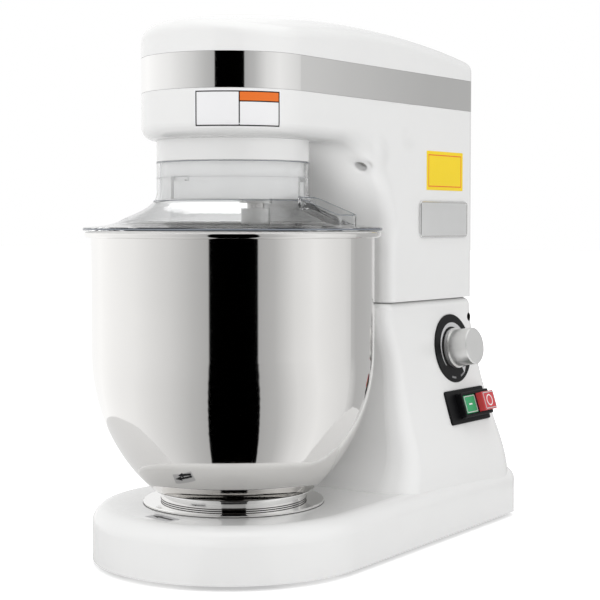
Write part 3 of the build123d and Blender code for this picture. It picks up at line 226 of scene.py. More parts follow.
def rounded_box(width: float, height: float, corner: float, steps: int = 8) -> np.ndarray:
    """A rectangle with round corners, anticlockwise: quarter circles about the four inset corners.

    Args:
        width: full width.
        height: full height.
        corner: corner radius.
        steps: points on each corner.

    Returns:
        A (4 * steps, 2) array centred on zero.
    """
    quarter = np.linspace(0.0, np.pi / 2, steps)
    angle = (quarter[None, :] + np.arange(4)[:, None] * np.pi / 2).ravel()
    side = np.repeat(np.array([[1, 1], [-1, 1], [-1, -1], [1, -1]], dtype=float), steps, axis=0)
    inner = side * np.array([width / 2 - corner, height / 2 - corner])
    return inner + corner * np.stack([np.cos(angle), np.sin(angle)], axis=-1)


def lofted(outlines: list[np.ndarray], heights: list[float]) -> np.ndarray:
    """Rings of (u, v) outlines set at heights w, one row each, as a (rings, n, 3) grid."""
    rings = [np.column_stack([o, np.full(len(o), h)]) for o, h in zip(outlines, heights)]
    return np.stack(rings)


def strip(along: np.ndarray, low: np.ndarray, high: np.ndarray, under: float, over: float,
          steps: int = 2) -> np.ndarray:
    """A thin closed strip: at each u a loop runs out along v underneath and back along v on top.

    Args:
        along: the u values.
        low: v of the lower edge at each u.
        high: v of the upper edge at each u.
        under: w of the underside.
        over: w of the top.
        steps: points across v.

    Returns:
        A (len(along), 2 * steps, 3) grid of (u, v, w).
    """
    across = low[:, None] + (high - low)[:, None] * np.linspace(0.0, 1.0, steps)
    v = np.concatenate([across, across[:, ::-1]], axis=1)
    w = np.broadcast_to(np.repeat([under, over], steps), v.shape)
    return np.stack([np.broadcast_to(along[:, None], v.shape), v, w], axis=-1)


def block(left: float, right: float, low: float, high: float, under: float, over: float,
          cols: int = 2, steps: int = 2) -> np.ndarray:
    """A strip of even height between two u values."""
    along = np.linspace(left, right, cols)
    return strip(along, np.full(cols, low), np.full(cols, high), under, over, steps)


def ring(outer: np.ndarray, inner: np.ndarray, under: float, over: float) -> np.ndarray:
    """A flat ring between two outlines: inner and outer edge underneath, then outer and inner on top."""
    return lofted([inner, outer, outer, inner], [under, under, over, over])


def box_outline(width: float, height: float, steps: int = 1) -> np.ndarray:
    """A rectangle's edge, anticlockwise: straight-line shares of each side from corner to corner.

    Args:
        width: full width.
        height: full height.
        steps: points on each side.

    Returns:
        A (4 * steps, 2) array centred on zero.
    """
    corner = np.array([[1, 1], [-1, 1], [-1, -1], [1, -1]]) * np.array([width / 2, height / 2])
    share = np.linspace(0.0, 1.0, steps, endpoint=False)[None, :, None]
    side = np.roll(corner, -1, axis=0) - corner
    return (corner[:, None, :] + share * side[:, None, :]).reshape(-1, 2)


def circle(radius: float, steps: int = 64) -> np.ndarray:
    """A circle about zero as a (steps, 2) array of cosines and sines."""
    turn = np.linspace(0.0, 2.0 * np.pi, steps, endpoint=False)
    return radius * np.stack([np.cos(turn), np.sin(turn)], axis=-1)


def hoop(name: str, radius: float, low: float, high: float, lean: float = 0.0) -> bpy.types.Object:
    """A thin hoop round the bowl's axis: a four-sided section turned a full circle.

    Args:
        name: the piece's name.
        radius: the hoop's inner radius at its top.
        low: its lower edge.
        high: its upper edge.
        lean: how much further out the lower edge lies.

    Returns:
        The hoop.
    """
    inner, outer = radius + SKIN, radius + SKIN + HOOP_WALL
    section = np.array([[inner, high], [inner + lean, low], [outer + lean, low], [outer, high]])
    return put_ring(name, revolved(section, HOOP_STEPS, (0.0, BOWL_Y)))


@dataclass(frozen=True)
class WallFrame:
    """A flat place on a wall: u runs along the wall, v up it and w straight out of it."""

    origin: tuple[float, float, float]
    tilt: float

    def place(self, points: np.ndarray) -> np.ndarray:
        """Carry (u, v, w) points to the row frame: the origin plus u, v and w along its three axes.

        Args:
            points: an (..., 3) array in wall coordinates.

        Returns:
            An array of the same shape in the row frame.
        """
        c, s = math.cos(self.tilt), math.sin(self.tilt)
        axes = np.array([[0.0, 1.0, 0.0], [-s, 0.0, c], [c, 0.0, s]])
        return np.asarray(self.origin) + points @ axes


@dataclass(frozen=True)
class NoseFrame:
    """The head's round front: u runs round it towards the control side, v up and w straight out."""

    axis_y: float = -96.4 * MM
    radius: float = HEAD_BOX.reach
    middle: float = math.radians(44.0)
    height: float = 359.0 * MM
    round_from: float = 349.0 * MM
    round_r: float = 12.0 * MM

    def place(self, points: np.ndarray) -> np.ndarray:
        """Bend (u, v, w) points round the nose.

        The angle is u over the radius, and below round_from the surface draws in along a quarter circle.

        Args:
            points: an (..., 3) array in nose coordinates.

        Returns:
            An array of the same shape in the row frame.
        """
        u, v, w = np.moveaxis(points, -1, 0)
        z = self.height + v
        below = np.clip(self.round_from - z, 0.0, self.round_r)
        reach = self.radius - self.round_r + np.sqrt(self.round_r ** 2 - below ** 2) + w
        angle = self.middle + u / self.radius
        return np.stack([reach * np.sin(angle), self.axis_y - reach * np.cos(angle), z], axis=-1)


@dataclass(frozen=True)
class BowlFrame:
    """The bowl's outside: u runs round it towards the control side, v up it and w straight out."""

    wide_r: float = 114.0 * MM
    wide_z: float = 169.0 * MM
    deep: float = 134.0 * MM
    middle: float = math.radians(12.5)
    height: float = 81.3 * MM
    climb: float = 0.13

    def place(self, points: np.ndarray) -> np.ndarray:
        """Lay (u, v, w) points on the bowl's ellipse of revolution, w out along the radius.

        Args:
            points: an (..., 3) array in bowl coordinates.

        Returns:
            An array of the same shape in the row frame.
        """
        u, v, w = np.moveaxis(points, -1, 0)
        z = self.height + v + self.climb * u
        reach = self.wide_r * np.sqrt(1.0 - ((self.wide_z - z) / self.deep) ** 2) + w
        angle = self.middle + u / self.wide_r
        return np.stack([reach * np.sin(angle), BOWL_Y - reach * np.cos(angle), z], axis=-1)


# Finishes


class Shader:
    """A material's node tree with short calls to add and join its nodes."""

    def __init__(self, name: str) -> None:
        """Start a material that holds a Principled shader and its output.

        Args:
            name: the material's name.
        """
        self.material = bpy.data.materials.new(name)
        self.material.use_nodes = True
        self.tree = self.material.node_tree
        self.tree.nodes.clear()
        self.output = self.tree.nodes.new("ShaderNodeOutputMaterial")
        self.surface = self.tree.nodes.new("ShaderNodeBsdfPrincipled")
        self.join(self.surface.outputs["BSDF"], self.output.inputs["Surface"])

    def join(self, source: bpy.types.NodeSocket, target: bpy.types.NodeSocket) -> None:
        """Link an output socket to an input socket."""
        self.tree.links.new(source, target)

    def node(self, kind: str, **inputs: object) -> bpy.types.Node:
        """Add a node and set its named inputs.

        Args:
            kind: the node's type name.
            inputs: socket values, by socket name with spaces as underscores.

        Returns:
            The new node.
        """
        made = self.tree.nodes.new(kind)
        for key, value in inputs.items():
            made.inputs[key.replace("_", " ")].default_value = value
        return made

    def set(self, **inputs: object) -> None:
        """Set constant values on the Principled shader's own sockets."""
        for key, value in inputs.items():
            self.surface.inputs[key.replace("_", " ")].default_value = value

    def coords(self, scale: tuple[float, float, float] = (1.0, 1.0, 1.0)) -> bpy.types.NodeSocket:
        """Object coordinates of the piece, stretched along each axis.

        Args:
            scale: the stretch along each axis.

        Returns:
            The stretched vector.
        """
        place = self.node("ShaderNodeTexCoord")
        mapped = self.node("ShaderNodeMapping", Scale=scale)
        self.join(place.outputs["Object"], mapped.inputs["Vector"])
        return mapped.outputs["Vector"]

    def noise(self, coords: bpy.types.NodeSocket, scale: float, detail: float) -> bpy.types.NodeSocket:
        """A soft noise value on the given coordinates.

        Args:
            coords: where the noise is read.
            scale: how fine it is.
            detail: how many finer layers it has.

        Returns:
            The value, mostly between 0.3 and 0.7.
        """
        made = self.node("ShaderNodeTexNoise", Scale=scale, Detail=detail, Roughness=NOISE_ROUGHNESS)
        self.join(coords, made.inputs["Vector"])
        return made.outputs["Fac"]

    def spread(self, value: bpy.types.NodeSocket, low: float, high: float,
               start: float = 0.3, end: float = 0.7) -> bpy.types.NodeSocket:
        """Map the value's start to end onto low to high in a straight line, and hold it past both ends.

        Args:
            value: the value to read.
            low: the result at start.
            high: the result at end.
            start: where the run begins.
            end: where the run ends.

        Returns:
            The result.
        """
        made = self.node("ShaderNodeMapRange", From_Min=start, From_Max=end, To_Min=low, To_Max=high)
        self.join(value, made.inputs["Value"])
        return made.outputs["Result"]

    def ramp(self, value: bpy.types.NodeSocket, low: tuple, high: tuple,
             start: float = 0.3, end: float = 0.7) -> bpy.types.NodeSocket:
        """Map the value's start to end onto two colours.

        Args:
            value: the value to read.
            low: the colour at start.
            high: the colour at end.
            start: where the ramp begins.
            end: where the ramp ends.

        Returns:
            The colour.
        """
        made = self.node("ShaderNodeValToRGB")
        made.color_ramp.elements[0].position = start
        made.color_ramp.elements[0].color = (*low, 1.0)
        made.color_ramp.elements[1].position = end
        made.color_ramp.elements[1].color = (*high, 1.0)
        self.join(value, made.inputs["Fac"])
        return made.outputs["Color"]

    def vector(self, operation: str, value: bpy.types.NodeSocket,
               other: tuple[float, float, float] = (0.0, 0.0, 0.0)) -> bpy.types.Node:
        """A vector maths node on a varying vector and a constant one.

        Args:
            operation: the node's operation.
            value: the varying vector.
            other: the constant vector.

        Returns:
            The node.
        """
        made = self.node("ShaderNodeVectorMath")
        made.operation = operation
        self.join(value, made.inputs[0])
        made.inputs[1].default_value = other
        return made

    def maths(self, operation: str, first: bpy.types.NodeSocket,
              second: Optional[bpy.types.NodeSocket] = None) -> bpy.types.NodeSocket:
        """A maths node on one or two varying values.

        Args:
            operation: the node's operation.
            first: the first value.
            second: the second value, if the operation takes one.

        Returns:
            The result.
        """
        made = self.node("ShaderNodeMath")
        made.operation = operation
        self.join(first, made.inputs[0])
        if second is not None:
            self.join(second, made.inputs[1])
        return made.outputs[0]

    def drive(self, socket: str, value: bpy.types.NodeSocket) -> None:
        """Let a varying value feed one of the Principled shader's sockets."""
        self.join(value, self.surface.inputs[socket])

    def bump(self, height: bpy.types.NodeSocket, strength: float, distance: float,
             normal: Optional[bpy.types.NodeSocket] = None) -> None:
        """Let a height feed the surface normal through a bump, on a softened normal if there is one.

        Args:
            height: the height.
            strength: how strongly it shows, up to 1.
            distance: the height of the relief in metres.
            normal: the softened normal.
        """
        made = self.node("ShaderNodeBump", Strength=strength, Distance=distance)
        self.join(height, made.inputs["Height"])
        if normal is not None:
            self.join(normal, made.inputs["Normal"])
        self.join(made.outputs["Normal"], self.surface.inputs["Normal"])


def shade_of(colour: tuple[float, float, float], factor: float) -> tuple[float, float, float]:
    """The colour made lighter or darker by a factor."""
    return tuple(min(1.0, c * factor) for c in colour)


@dataclass(frozen=True)
class Finish:
    """A moulded, cast or painted surface: a grain of noise moves its colour, gloss and relief."""

    name: str
    colour: tuple[float, float, float]
    roughness: float = 0.4
    metallic: float = 0.0
    coat: float = 0.0
    coat_roughness: float = 0.08
    gloss_range: tuple[float, float] = (0.85, 1.15)
    grain: float = 400.0
    cloud: float = 18.0
    mottle: float = 0.04
    relief: float = 0.08
    depth: float = 0.0002
    stretch: tuple[float, float, float] = (1.0, 1.0, 1.0)
    specular: float = 0.5
    soft_edge: float = 0.0
    soft_at: tuple[float, float, float] = (HEAD_BOX.reach, 0.02, 0.318)
    soft_reach: tuple[float, float] = (0.05, 0.075)

    def soften(self, shader: Shader) -> bpy.types.NodeSocket:
        """Round the shading of the edges near one place and its mirror image across x.

        Args:
            shader: the material's nodes.

        Returns:
            The softened normal.
        """
        split = shader.node("ShaderNodeSeparateXYZ")
        shader.join(shader.coords(), split.inputs[0])
        place = shader.node("ShaderNodeCombineXYZ")
        shader.join(shader.maths("ABSOLUTE", split.outputs["X"]), place.inputs["X"])
        shader.join(split.outputs["Y"], place.inputs["Y"])
        shader.join(split.outputs["Z"], place.inputs["Z"])
        away = shader.vector("DISTANCE", place.outputs["Vector"], self.soft_at)
        bevel = shader.node("ShaderNodeBevel")
        bevel.samples = BEVEL_SAMPLES
        radius = shader.spread(away.outputs["Value"], self.soft_edge, 0.0, *self.soft_reach)
        shader.join(radius, bevel.inputs["Radius"])
        return bevel.outputs["Normal"]

    def shaded(self) -> Shader:
        """Build the material's nodes.

        Returns:
            The nodes, with colour, gloss and relief joined up.
        """
        shader = Shader(self.name)
        shader.set(Metallic=self.metallic, Coat_Weight=self.coat, Coat_Roughness=self.coat_roughness,
                   Specular_IOR_Level=self.specular)
        fine = shader.noise(shader.coords(self.stretch), self.grain, FINE_DETAIL)
        broad = shader.noise(shader.coords(), self.cloud, BROAD_DETAIL)
        low, high = shade_of(self.colour, 1.0 - self.mottle), shade_of(self.colour, 1.0 + self.mottle)
        shader.drive("Base Color", shader.ramp(broad, low, high))
        smooth, rough = (self.roughness * share for share in self.gloss_range)
        shader.drive("Roughness", shader.spread(fine, smooth, rough))
        normal = self.soften(shader) if self.soft_edge > 0.0 else None
        shader.bump(fine, self.relief, self.depth, normal)
        return shader

    def make(self) -> bpy.types.Material:
        """Make the material."""
        return self.shaded().material


@dataclass(frozen=True)
class BowlFinish(Finish):
    """Spun steel that is bright on the bowl's outside and satin on its inside."""

    bowl: BowlFrame = BowlFrame()
    satin: float = 0.24
    satin_metal: float = 0.86
    wall: tuple[float, float] = (0.9925, 0.9965)

    def inside(self, shader: Shader) -> bpy.types.NodeSocket:
        """One on the inside wall and nought on the outside.

        The place is measured from the middle of the bowl's ellipse in units of its half axes. Above
        the middle the height counts as nought, so a length of one is the outside wall all the way up.

        Args:
            shader: the material's nodes.

        Returns:
            The value.
        """
        wide, deep = 1.0 / self.bowl.wide_r, 1.0 / self.bowl.deep
        far = 2.0
        place = shader.vector("SUBTRACT", shader.coords(), (0.0, BOWL_Y, self.bowl.wide_z))
        place = shader.vector("MULTIPLY", place.outputs["Vector"], (wide, wide, deep))
        place = shader.vector("MINIMUM", place.outputs["Vector"], (far, far, 0.0))
        reach = shader.vector("LENGTH", place.outputs["Vector"])
        return shader.spread(reach.outputs["Value"], 1.0, 0.0, *self.wall)

    def shaded(self) -> Shader:
        """Build the outside's nodes and let the inside wall take the satin values.

        Returns:
            The nodes.
        """
        shader = super().shaded()
        inside = self.inside(shader)
        bright = shader.surface.inputs["Roughness"].links[0].from_socket
        gloss = shader.node("ShaderNodeMapRange", To_Max=self.satin)
        shader.join(inside, gloss.inputs["Value"])
        shader.join(bright, gloss.inputs["To Min"])
        shader.drive("Roughness", gloss.outputs["Result"])
        shader.drive("Metallic", shader.spread(inside, self.metallic, self.satin_metal, 0.0, 1.0))
        return shader


@dataclass(frozen=True)
class ClearFinish:
    """A clear moulded plastic with faint flow lines, darker where its wall is seen along its length."""

    name: str
    colour: tuple[float, float, float]
    edge_colour: tuple[float, float, float]
    edge_from: float = 0.6
    roughness: float = 0.03
    gloss_range: tuple[float, float] = (0.6, 1.4)
    ior: float = 1.1
    coat: float = 0.4
    coat_ior: float = 1.6
    flow: float = 14.0
    stretch: tuple[float, float, float] = (1.0, 1.0, 3.0)
    relief: float = 0.04
    depth: float = 0.0008

    def make(self) -> bpy.types.Material:
        """Build the material's nodes.

        Returns:
            The material.
        """
        shader = Shader(self.name)
        shader.set(Transmission_Weight=1.0, IOR=self.ior, Coat_Weight=self.coat, Coat_IOR=self.coat_ior,
                   Coat_Roughness=self.roughness)
        flow = shader.noise(shader.coords(self.stretch), self.flow, BROAD_DETAIL)
        slant = shader.node("ShaderNodeLayerWeight", Blend=0.5).outputs["Facing"]
        shader.drive("Base Color", shader.ramp(slant, self.colour, self.edge_colour, self.edge_from, 1.0))
        smooth, rough = (self.roughness * share for share in self.gloss_range)
        shader.drive("Roughness", shader.spread(flow, smooth, rough))
        shader.bump(flow, self.relief, self.depth)
        return shader.material


class Look(Enum):
    """Every finish of the machine."""

    WHITE_PAINT = Finish("white_paint", (0.83, 0.83, 0.825), 0.2, coat=0.35, grain=260.0, mottle=0.006,
                         relief=0.05, depth=0.0001, soft_edge=0.016)
    POLISHED_STEEL = Finish("polished_steel", (0.80, 0.795, 0.785), 0.06, 1.0, grain=90.0, mottle=0.01,
                            relief=0.015, depth=0.00005, stretch=(0.2, 0.2, 12.0))
    BRUSHED_STEEL = BowlFinish("brushed_steel", (0.78, 0.77, 0.755), 0.055, 1.0, grain=60.0, mottle=0.012,
                               relief=0.015, depth=0.00005, stretch=(0.12, 0.12, 24.0))
    MACHINE_STEEL = Finish("machine_steel", (0.56, 0.55, 0.54), 0.3, 1.0, grain=500.0, mottle=0.05)
    # dark steel of the hinge pin, and also the painted shade in the gaps round the bowl's foot and in the
    # hinge bore
    DARK_STEEL_AND_SHADE = Finish("dark_steel_and_shade", (0.035, 0.031, 0.028), 0.42, 0.6, grain=500.0, mottle=0.08)
    CAST_ALUMINIUM = Finish("cast_aluminium", (0.70, 0.70, 0.69), 0.38, 1.0, grain=700.0, mottle=0.04,
                            relief=0.15)
    TURNED_ALUMINIUM = Finish("turned_aluminium", (0.86, 0.86, 0.85), 0.38, 1.0, grain=300.0, mottle=0.02,
                              relief=0.04, stretch=(6.0, 0.6, 0.6))
    PLATE_ALUMINIUM = Finish("plate_aluminium", (0.90, 0.905, 0.90), 0.36, 1.0, grain=300.0, mottle=0.03,
                             relief=0.05, stretch=(1.0, 0.1, 4.0))
    RUBBER = Finish("rubber", (0.035, 0.035, 0.036), 0.75, grain=900.0, mottle=0.1, relief=0.2)
    BLACK_PLASTIC = Finish("black_plastic", (0.006, 0.006, 0.007), 0.42, grain=1200.0, mottle=0.08,
                           relief=0.1, specular=0.16)
    MOTOR_IRON = Finish("motor_iron", (0.16, 0.15, 0.145), 0.5, 0.8, grain=80.0, mottle=0.12, relief=0.3,
                        stretch=(0.3, 0.3, 20.0))
    BRASS = Finish("brass", (0.72, 0.52, 0.24), 0.28, 1.0, grain=500.0, mottle=0.05)
    BOARD = Finish("board", (0.03, 0.16, 0.08), 0.45, grain=120.0, mottle=0.2, relief=0.15)
    GREEN_BUTTON = Finish("green_button", (0.03, 0.36, 0.14), 0.34, grain=800.0, mottle=0.04, relief=0.05)
    RED_BUTTON = Finish("red_button", (0.60, 0.05, 0.06), 0.34, grain=800.0, mottle=0.04, relief=0.05)
    SILVER_PRINT = Finish("silver_print", (0.62, 0.62, 0.63), 0.35, 0.3, grain=900.0, mottle=0.02)
    GREY_PRINT = Finish("grey_print", (0.22, 0.22, 0.225), 0.4, grain=900.0, mottle=0.05)
    PALE_FILM = Finish("pale_film", (0.52, 0.52, 0.53), 0.4, grain=900.0, mottle=0.05)
    WHITE_PRINT = Finish("white_print", (0.86, 0.86, 0.86), 0.4, grain=900.0, mottle=0.02)
    BLACK_PRINT = Finish("black_print", (0.008, 0.008, 0.009), 0.45, grain=900.0, mottle=0.05,
                         specular=0.2)
    WHITE_LABEL = Finish("white_label", (0.85, 0.85, 0.86), 0.32, grain=700.0, mottle=0.01, relief=0.03)
    ORANGE_LABEL = Finish("orange_label", (0.80, 0.17, 0.02), 0.4, grain=700.0, mottle=0.02, relief=0.03,
                          specular=0.25)
    YELLOW_LABEL = Finish("yellow_label", (0.92, 0.67, 0.01), 0.4, grain=700.0, mottle=0.02, relief=0.03,
                          specular=0.25)
    # painted shade: the dark grey of the lines drawn where the clear guard's edges look dark
    PAINTED_EDGE_SHADE = Finish("painted_edge_shade", (0.17, 0.19, 0.22), 0.25, grain=500.0, mottle=0.06, relief=0.03)
    CLEAR_PLASTIC = ClearFinish("clear_plastic", (0.885, 0.889, 0.891), (0.22, 0.224, 0.228))


class Palette:
    """The materials of all finishes, each made once."""

    def __init__(self) -> None:
        """Make every finish's material."""
        self.made = {look: look.value.make() for look in Look}

    def coat(self, piece: bpy.types.Object, look: Look) -> None:
        """Give a piece one finish all over.

        Args:
            piece: the object to dress.
            look: the finish.
        """
        piece.data.materials.clear()
        piece.data.materials.append(self.made[look])


NODE_LOOKS: dict[Look, tuple[str, ...]] = {
    Look.WHITE_PAINT: ("base_casting", "head_casting", "top_cover", "guard_collar"),
    Look.POLISHED_STEEL: ("bowl_seat", "trim_band", "bowl_foot"),
    Look.BRUSHED_STEEL: ("bowl",),
    Look.MACHINE_STEEL: ("base_plate", "base_plate_screws", "seat_screws", "clamp_stud", "throat_screws",
                         "collar_screws", "ring_gear", "housing_screws", "main_bearings",
                         "motor_bearings", "motor_bracket", "bracket_screws", "main_shaft",
                         "agitator_shaft", "planet_pinion", "drive_pin"),
    Look.DARK_STEEL_AND_SHADE: ("hinge_pin",),
    Look.CAST_ALUMINIUM: ("heat_sink", "bearing_housing", "motor_case", "motor_pulley", "main_pulley",
                          "planet_carrier", "beater"),
    Look.TURNED_ALUMINIUM: ("speed_knob",),
    Look.PLATE_ALUMINIUM: ("name_plate",),
    Look.RUBBER: ("rubber_feet", "drive_belt"),
    Look.BLACK_PLASTIC: ("dial_plate", "speed_control", "switch_plate", "switch_body", "cord_gland",
                         "clamp_knob"),
    Look.MOTOR_IRON: ("motor_stator", "motor_rotor"),
    Look.BRASS: ("board_standoffs", "hinge_bushes", "planet_bush"),
    Look.BOARD: ("control_board",),
    Look.GREEN_BUTTON: ("start_button",),
    Look.RED_BUTTON: ("stop_button",),
    Look.CLEAR_PLASTIC: ("splash_guard",),
}


@dataclass
class Workshop:
    """Hands out finishes and attaches finished pieces to the frame."""

    palette: Palette
    count: int = 0

    def fit(self, piece: bpy.types.Object, body: Body, look: Look) -> None:
        """Dress a piece, make it ride on a body and report it.

        Args:
            piece: the new piece.
            body: the body that it moves with.
            look: its finish.
        """
        self.palette.coat(piece, look)
        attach(piece, body.value)
        self.count += 1
        LOG.info("%s: %d faces on %s", piece.name, len(piece.data.polygons), body.value)


# Sub-assemblies


@dataclass
class SpeedDial:
    """The speed control's print: a tapered arc, a triangle and two index bars on the black plate."""

    wall: WallFrame = WallFrame((0.0736, 0.133, 0.1595), math.atan(44.5 / 300.0))
    face: float = 1.82 * MM
    print_t: float = 0.06 * MM
    arc_r: float = 21.5 * MM
    arc_wide: float = 7.0 * MM
    arc_thin: float = 0.5 * MM
    arc_from: float = math.radians(-44.0)
    arc_to: float = math.radians(222.0)
    bar_r: float = 26.6 * MM
    bar_wide: float = 1.7 * MM
    bar_span: float = math.radians(15.0)
    bar_turns: tuple[float, float] = (math.radians(-101.0), math.radians(-67.0))
    triangle_at: tuple[float, float] = (14.4 * MM, -19.6 * MM)
    triangle_r: float = 3.9 * MM
    arc_steps: int = 120
    bar_steps: int = 12

    def sweep(self, name: str, turn: np.ndarray, radius: float, wide: np.ndarray) -> bpy.types.Object:
        """A printed band round the dial: at each angle it spans half its width either side of a radius.

        Args:
            name: the piece's name.
            turn: the angles, clockwise.
            radius: the band's middle.
            wide: the band's width at each angle.

        Returns:
            The printed band.
        """
        flat = strip(turn, radius - wide / 2, radius + wide / 2, self.face, self.face + self.print_t)
        angle, reach, out = np.moveaxis(flat, -1, 0)
        bent = np.stack([reach * np.cos(angle), reach * np.sin(angle), out], axis=-1)
        return put_sheet(name, self.wall.place(bent))

    def arc(self) -> bpy.types.Object:
        """The speed scale: a band whose width grows in step with the angle.

        Returns:
            The scale.
        """
        turn = np.linspace(self.arc_to, self.arc_from, self.arc_steps)
        wide = np.linspace(self.arc_thin, self.arc_wide, self.arc_steps)
        return self.sweep("dial_scale", turn, self.arc_r, wide)

    def bar(self, number: int, middle: float) -> bpy.types.Object:
        """One index bar: a short band of even width."""
        turn = np.linspace(middle + self.bar_span / 2, middle - self.bar_span / 2, self.bar_steps)
        return self.sweep(f"dial_bar_{number}", turn, self.bar_r, np.full_like(turn, self.bar_wide))

    def triangle(self) -> bpy.types.Object:
        """The start mark: three points a third of a turn apart, one straight down.

        Returns:
            The triangle.
        """
        turn = np.pi / 2 + np.arange(3) * 2.0 * np.pi / 3
        corners = self.triangle_r * np.stack([np.cos(turn), -np.sin(turn)], axis=-1)
        corners = corners[::-1] + np.asarray(self.triangle_at)
        grid = lofted([corners, corners], [self.face, self.face + self.print_t])
        return put_sheet("dial_triangle", self.wall.place(grid))

    def build(self, shop: Workshop) -> None:
        """Make the print and fix it to the base.

        Args:
            shop: fits the pieces to the frame.
        """
        shop.fit(self.arc(), Body.BASE, Look.SILVER_PRINT)
        shop.fit(self.triangle(), Body.BASE, Look.SILVER_PRINT)
        for number, middle in enumerate(self.bar_turns, start=1):
            shop.fit(self.bar(number, middle), Body.BASE, Look.GREY_PRINT)


@dataclass
class SwitchButtons:
    """The plain marks and clear edges on the two push buttons."""

    wall: WallFrame = WallFrame((0.08566, 0.139, 0.108), math.radians(17.74))
    size: tuple[float, float] = (21.0 * MM, 17.0 * MM)
    start_u: float = -5.0 * MM
    stop_u: float = 18.0 * MM
    start_face: float = 7.6 * MM
    stop_face: float = 14.5 * MM
    mark_t: float = 0.08 * MM
    edge_t: float = 0.3 * MM
    edge_inset: float = 0.9 * MM
    edge_wide: float = 0.8 * MM
    edge_corners: tuple[float, float] = (1.2 * MM, 0.6 * MM)
    bar: tuple[float, float] = (5.6 * MM, 1.3 * MM)
    ring_r: float = 5.2 * MM
    ring_wide: float = 1.1 * MM

    def edge(self, name: str, along: float, face: float) -> bpy.types.Object:
        """The raised edge of a button's clear boot: a ring between two rounded rectangles.

        Args:
            name: the piece's name.
            along: the button's middle along the wall.
            face: the height of the button's face.

        Returns:
            The edge.
        """
        wide, high = (side - 2 * self.edge_inset for side in self.size)
        outer = rounded_box(wide, high, self.edge_corners[0])
        inner = rounded_box(wide - 2 * self.edge_wide, high - 2 * self.edge_wide, self.edge_corners[1])
        shift = np.array([along, 0.0])
        grid = ring(outer + shift, inner + shift, face + SKIN, face + self.edge_t)
        return put_ring(name, self.wall.place(grid))

    def start_mark(self) -> bpy.types.Object:
        """The on mark: one short bar.

        Returns:
            The bar.
        """
        wide, high = self.bar
        face = self.start_face
        grid = block(self.start_u - wide / 2, self.start_u + wide / 2, -high / 2, high / 2,
                     face + SKIN, face + self.mark_t)
        return put_sheet("start_mark", self.wall.place(grid))

    def stop_mark(self) -> bpy.types.Object:
        """The off mark: a ring between two circles.

        Returns:
            The ring.
        """
        shift = np.array([self.stop_u, 0.0])
        outer, inner = circle(self.ring_r) + shift, circle(self.ring_r - self.ring_wide) + shift
        grid = ring(outer, inner, self.stop_face + SKIN, self.stop_face + self.mark_t)
        return put_ring("stop_mark", self.wall.place(grid))

    def build(self, shop: Workshop) -> None:
        """Make the marks and edges and let them move with their buttons.

        Args:
            shop: fits the pieces to the frame.
        """
        shop.fit(self.edge("start_edge", self.start_u, self.start_face), Body.START, Look.SILVER_PRINT)
        shop.fit(self.edge("stop_edge", self.stop_u, self.stop_face), Body.STOP, Look.SILVER_PRINT)
        shop.fit(self.start_mark(), Body.START, Look.WHITE_PRINT)
        shop.fit(self.stop_mark(), Body.STOP, Look.WHITE_PRINT)


@dataclass
class HingeBoreShade:
    """Painted shade in the hinge pin's bore: dark cups that close the bore on both sides of the column.
    """

    axis: tuple[float, float] = PIN_BOX.middle[1:]
    bore_r: float = 3.95 * MM
    cup_r: float = 3.0 * MM
    inner_x: float = PIN_BOX.reach + 0.3 * MM
    floor_x: float = PIN_BOX.reach + 1.6 * MM
    outer_x: float = PIN_BOX.reach + 6.0 * MM
    steps: int = 40

    def cup(self, name: str, side: float) -> bpy.types.Object:
        """A shallow cup turned about the hinge line: its floor, inner wall, lip and outer wall.

        Args:
            name: the piece's name.
            side: 1 for the control side, -1 for the other.

        Returns:
            The cup.
        """
        radius = np.array([[self.cup_r], [self.cup_r], [self.bore_r], [self.bore_r]])
        along = np.array([[self.floor_x], [self.outer_x], [self.outer_x], [self.inner_x]])
        turn = np.linspace(0.0, 2.0 * np.pi, self.steps, endpoint=False) * -side
        y, z = self.axis[0] + radius * np.cos(turn), self.axis[1] + radius * np.sin(turn)
        return put_sheet(name, np.stack([side * np.broadcast_to(along, y.shape), y, z], axis=-1))

    def build(self, shop: Workshop) -> None:
        """Make both painted shade cups and fix them to the base.

        Args:
            shop: fits the pieces to the frame.
        """
        # painted shade: dark cups that make the hinge bore look shaded
        for name, side in (("hinge_bore_shade_right", 1.0), ("hinge_bore_shade_left", -1.0)):
            shop.fit(self.cup(name, side), Body.BASE, Look.DARK_STEEL_AND_SHADE)


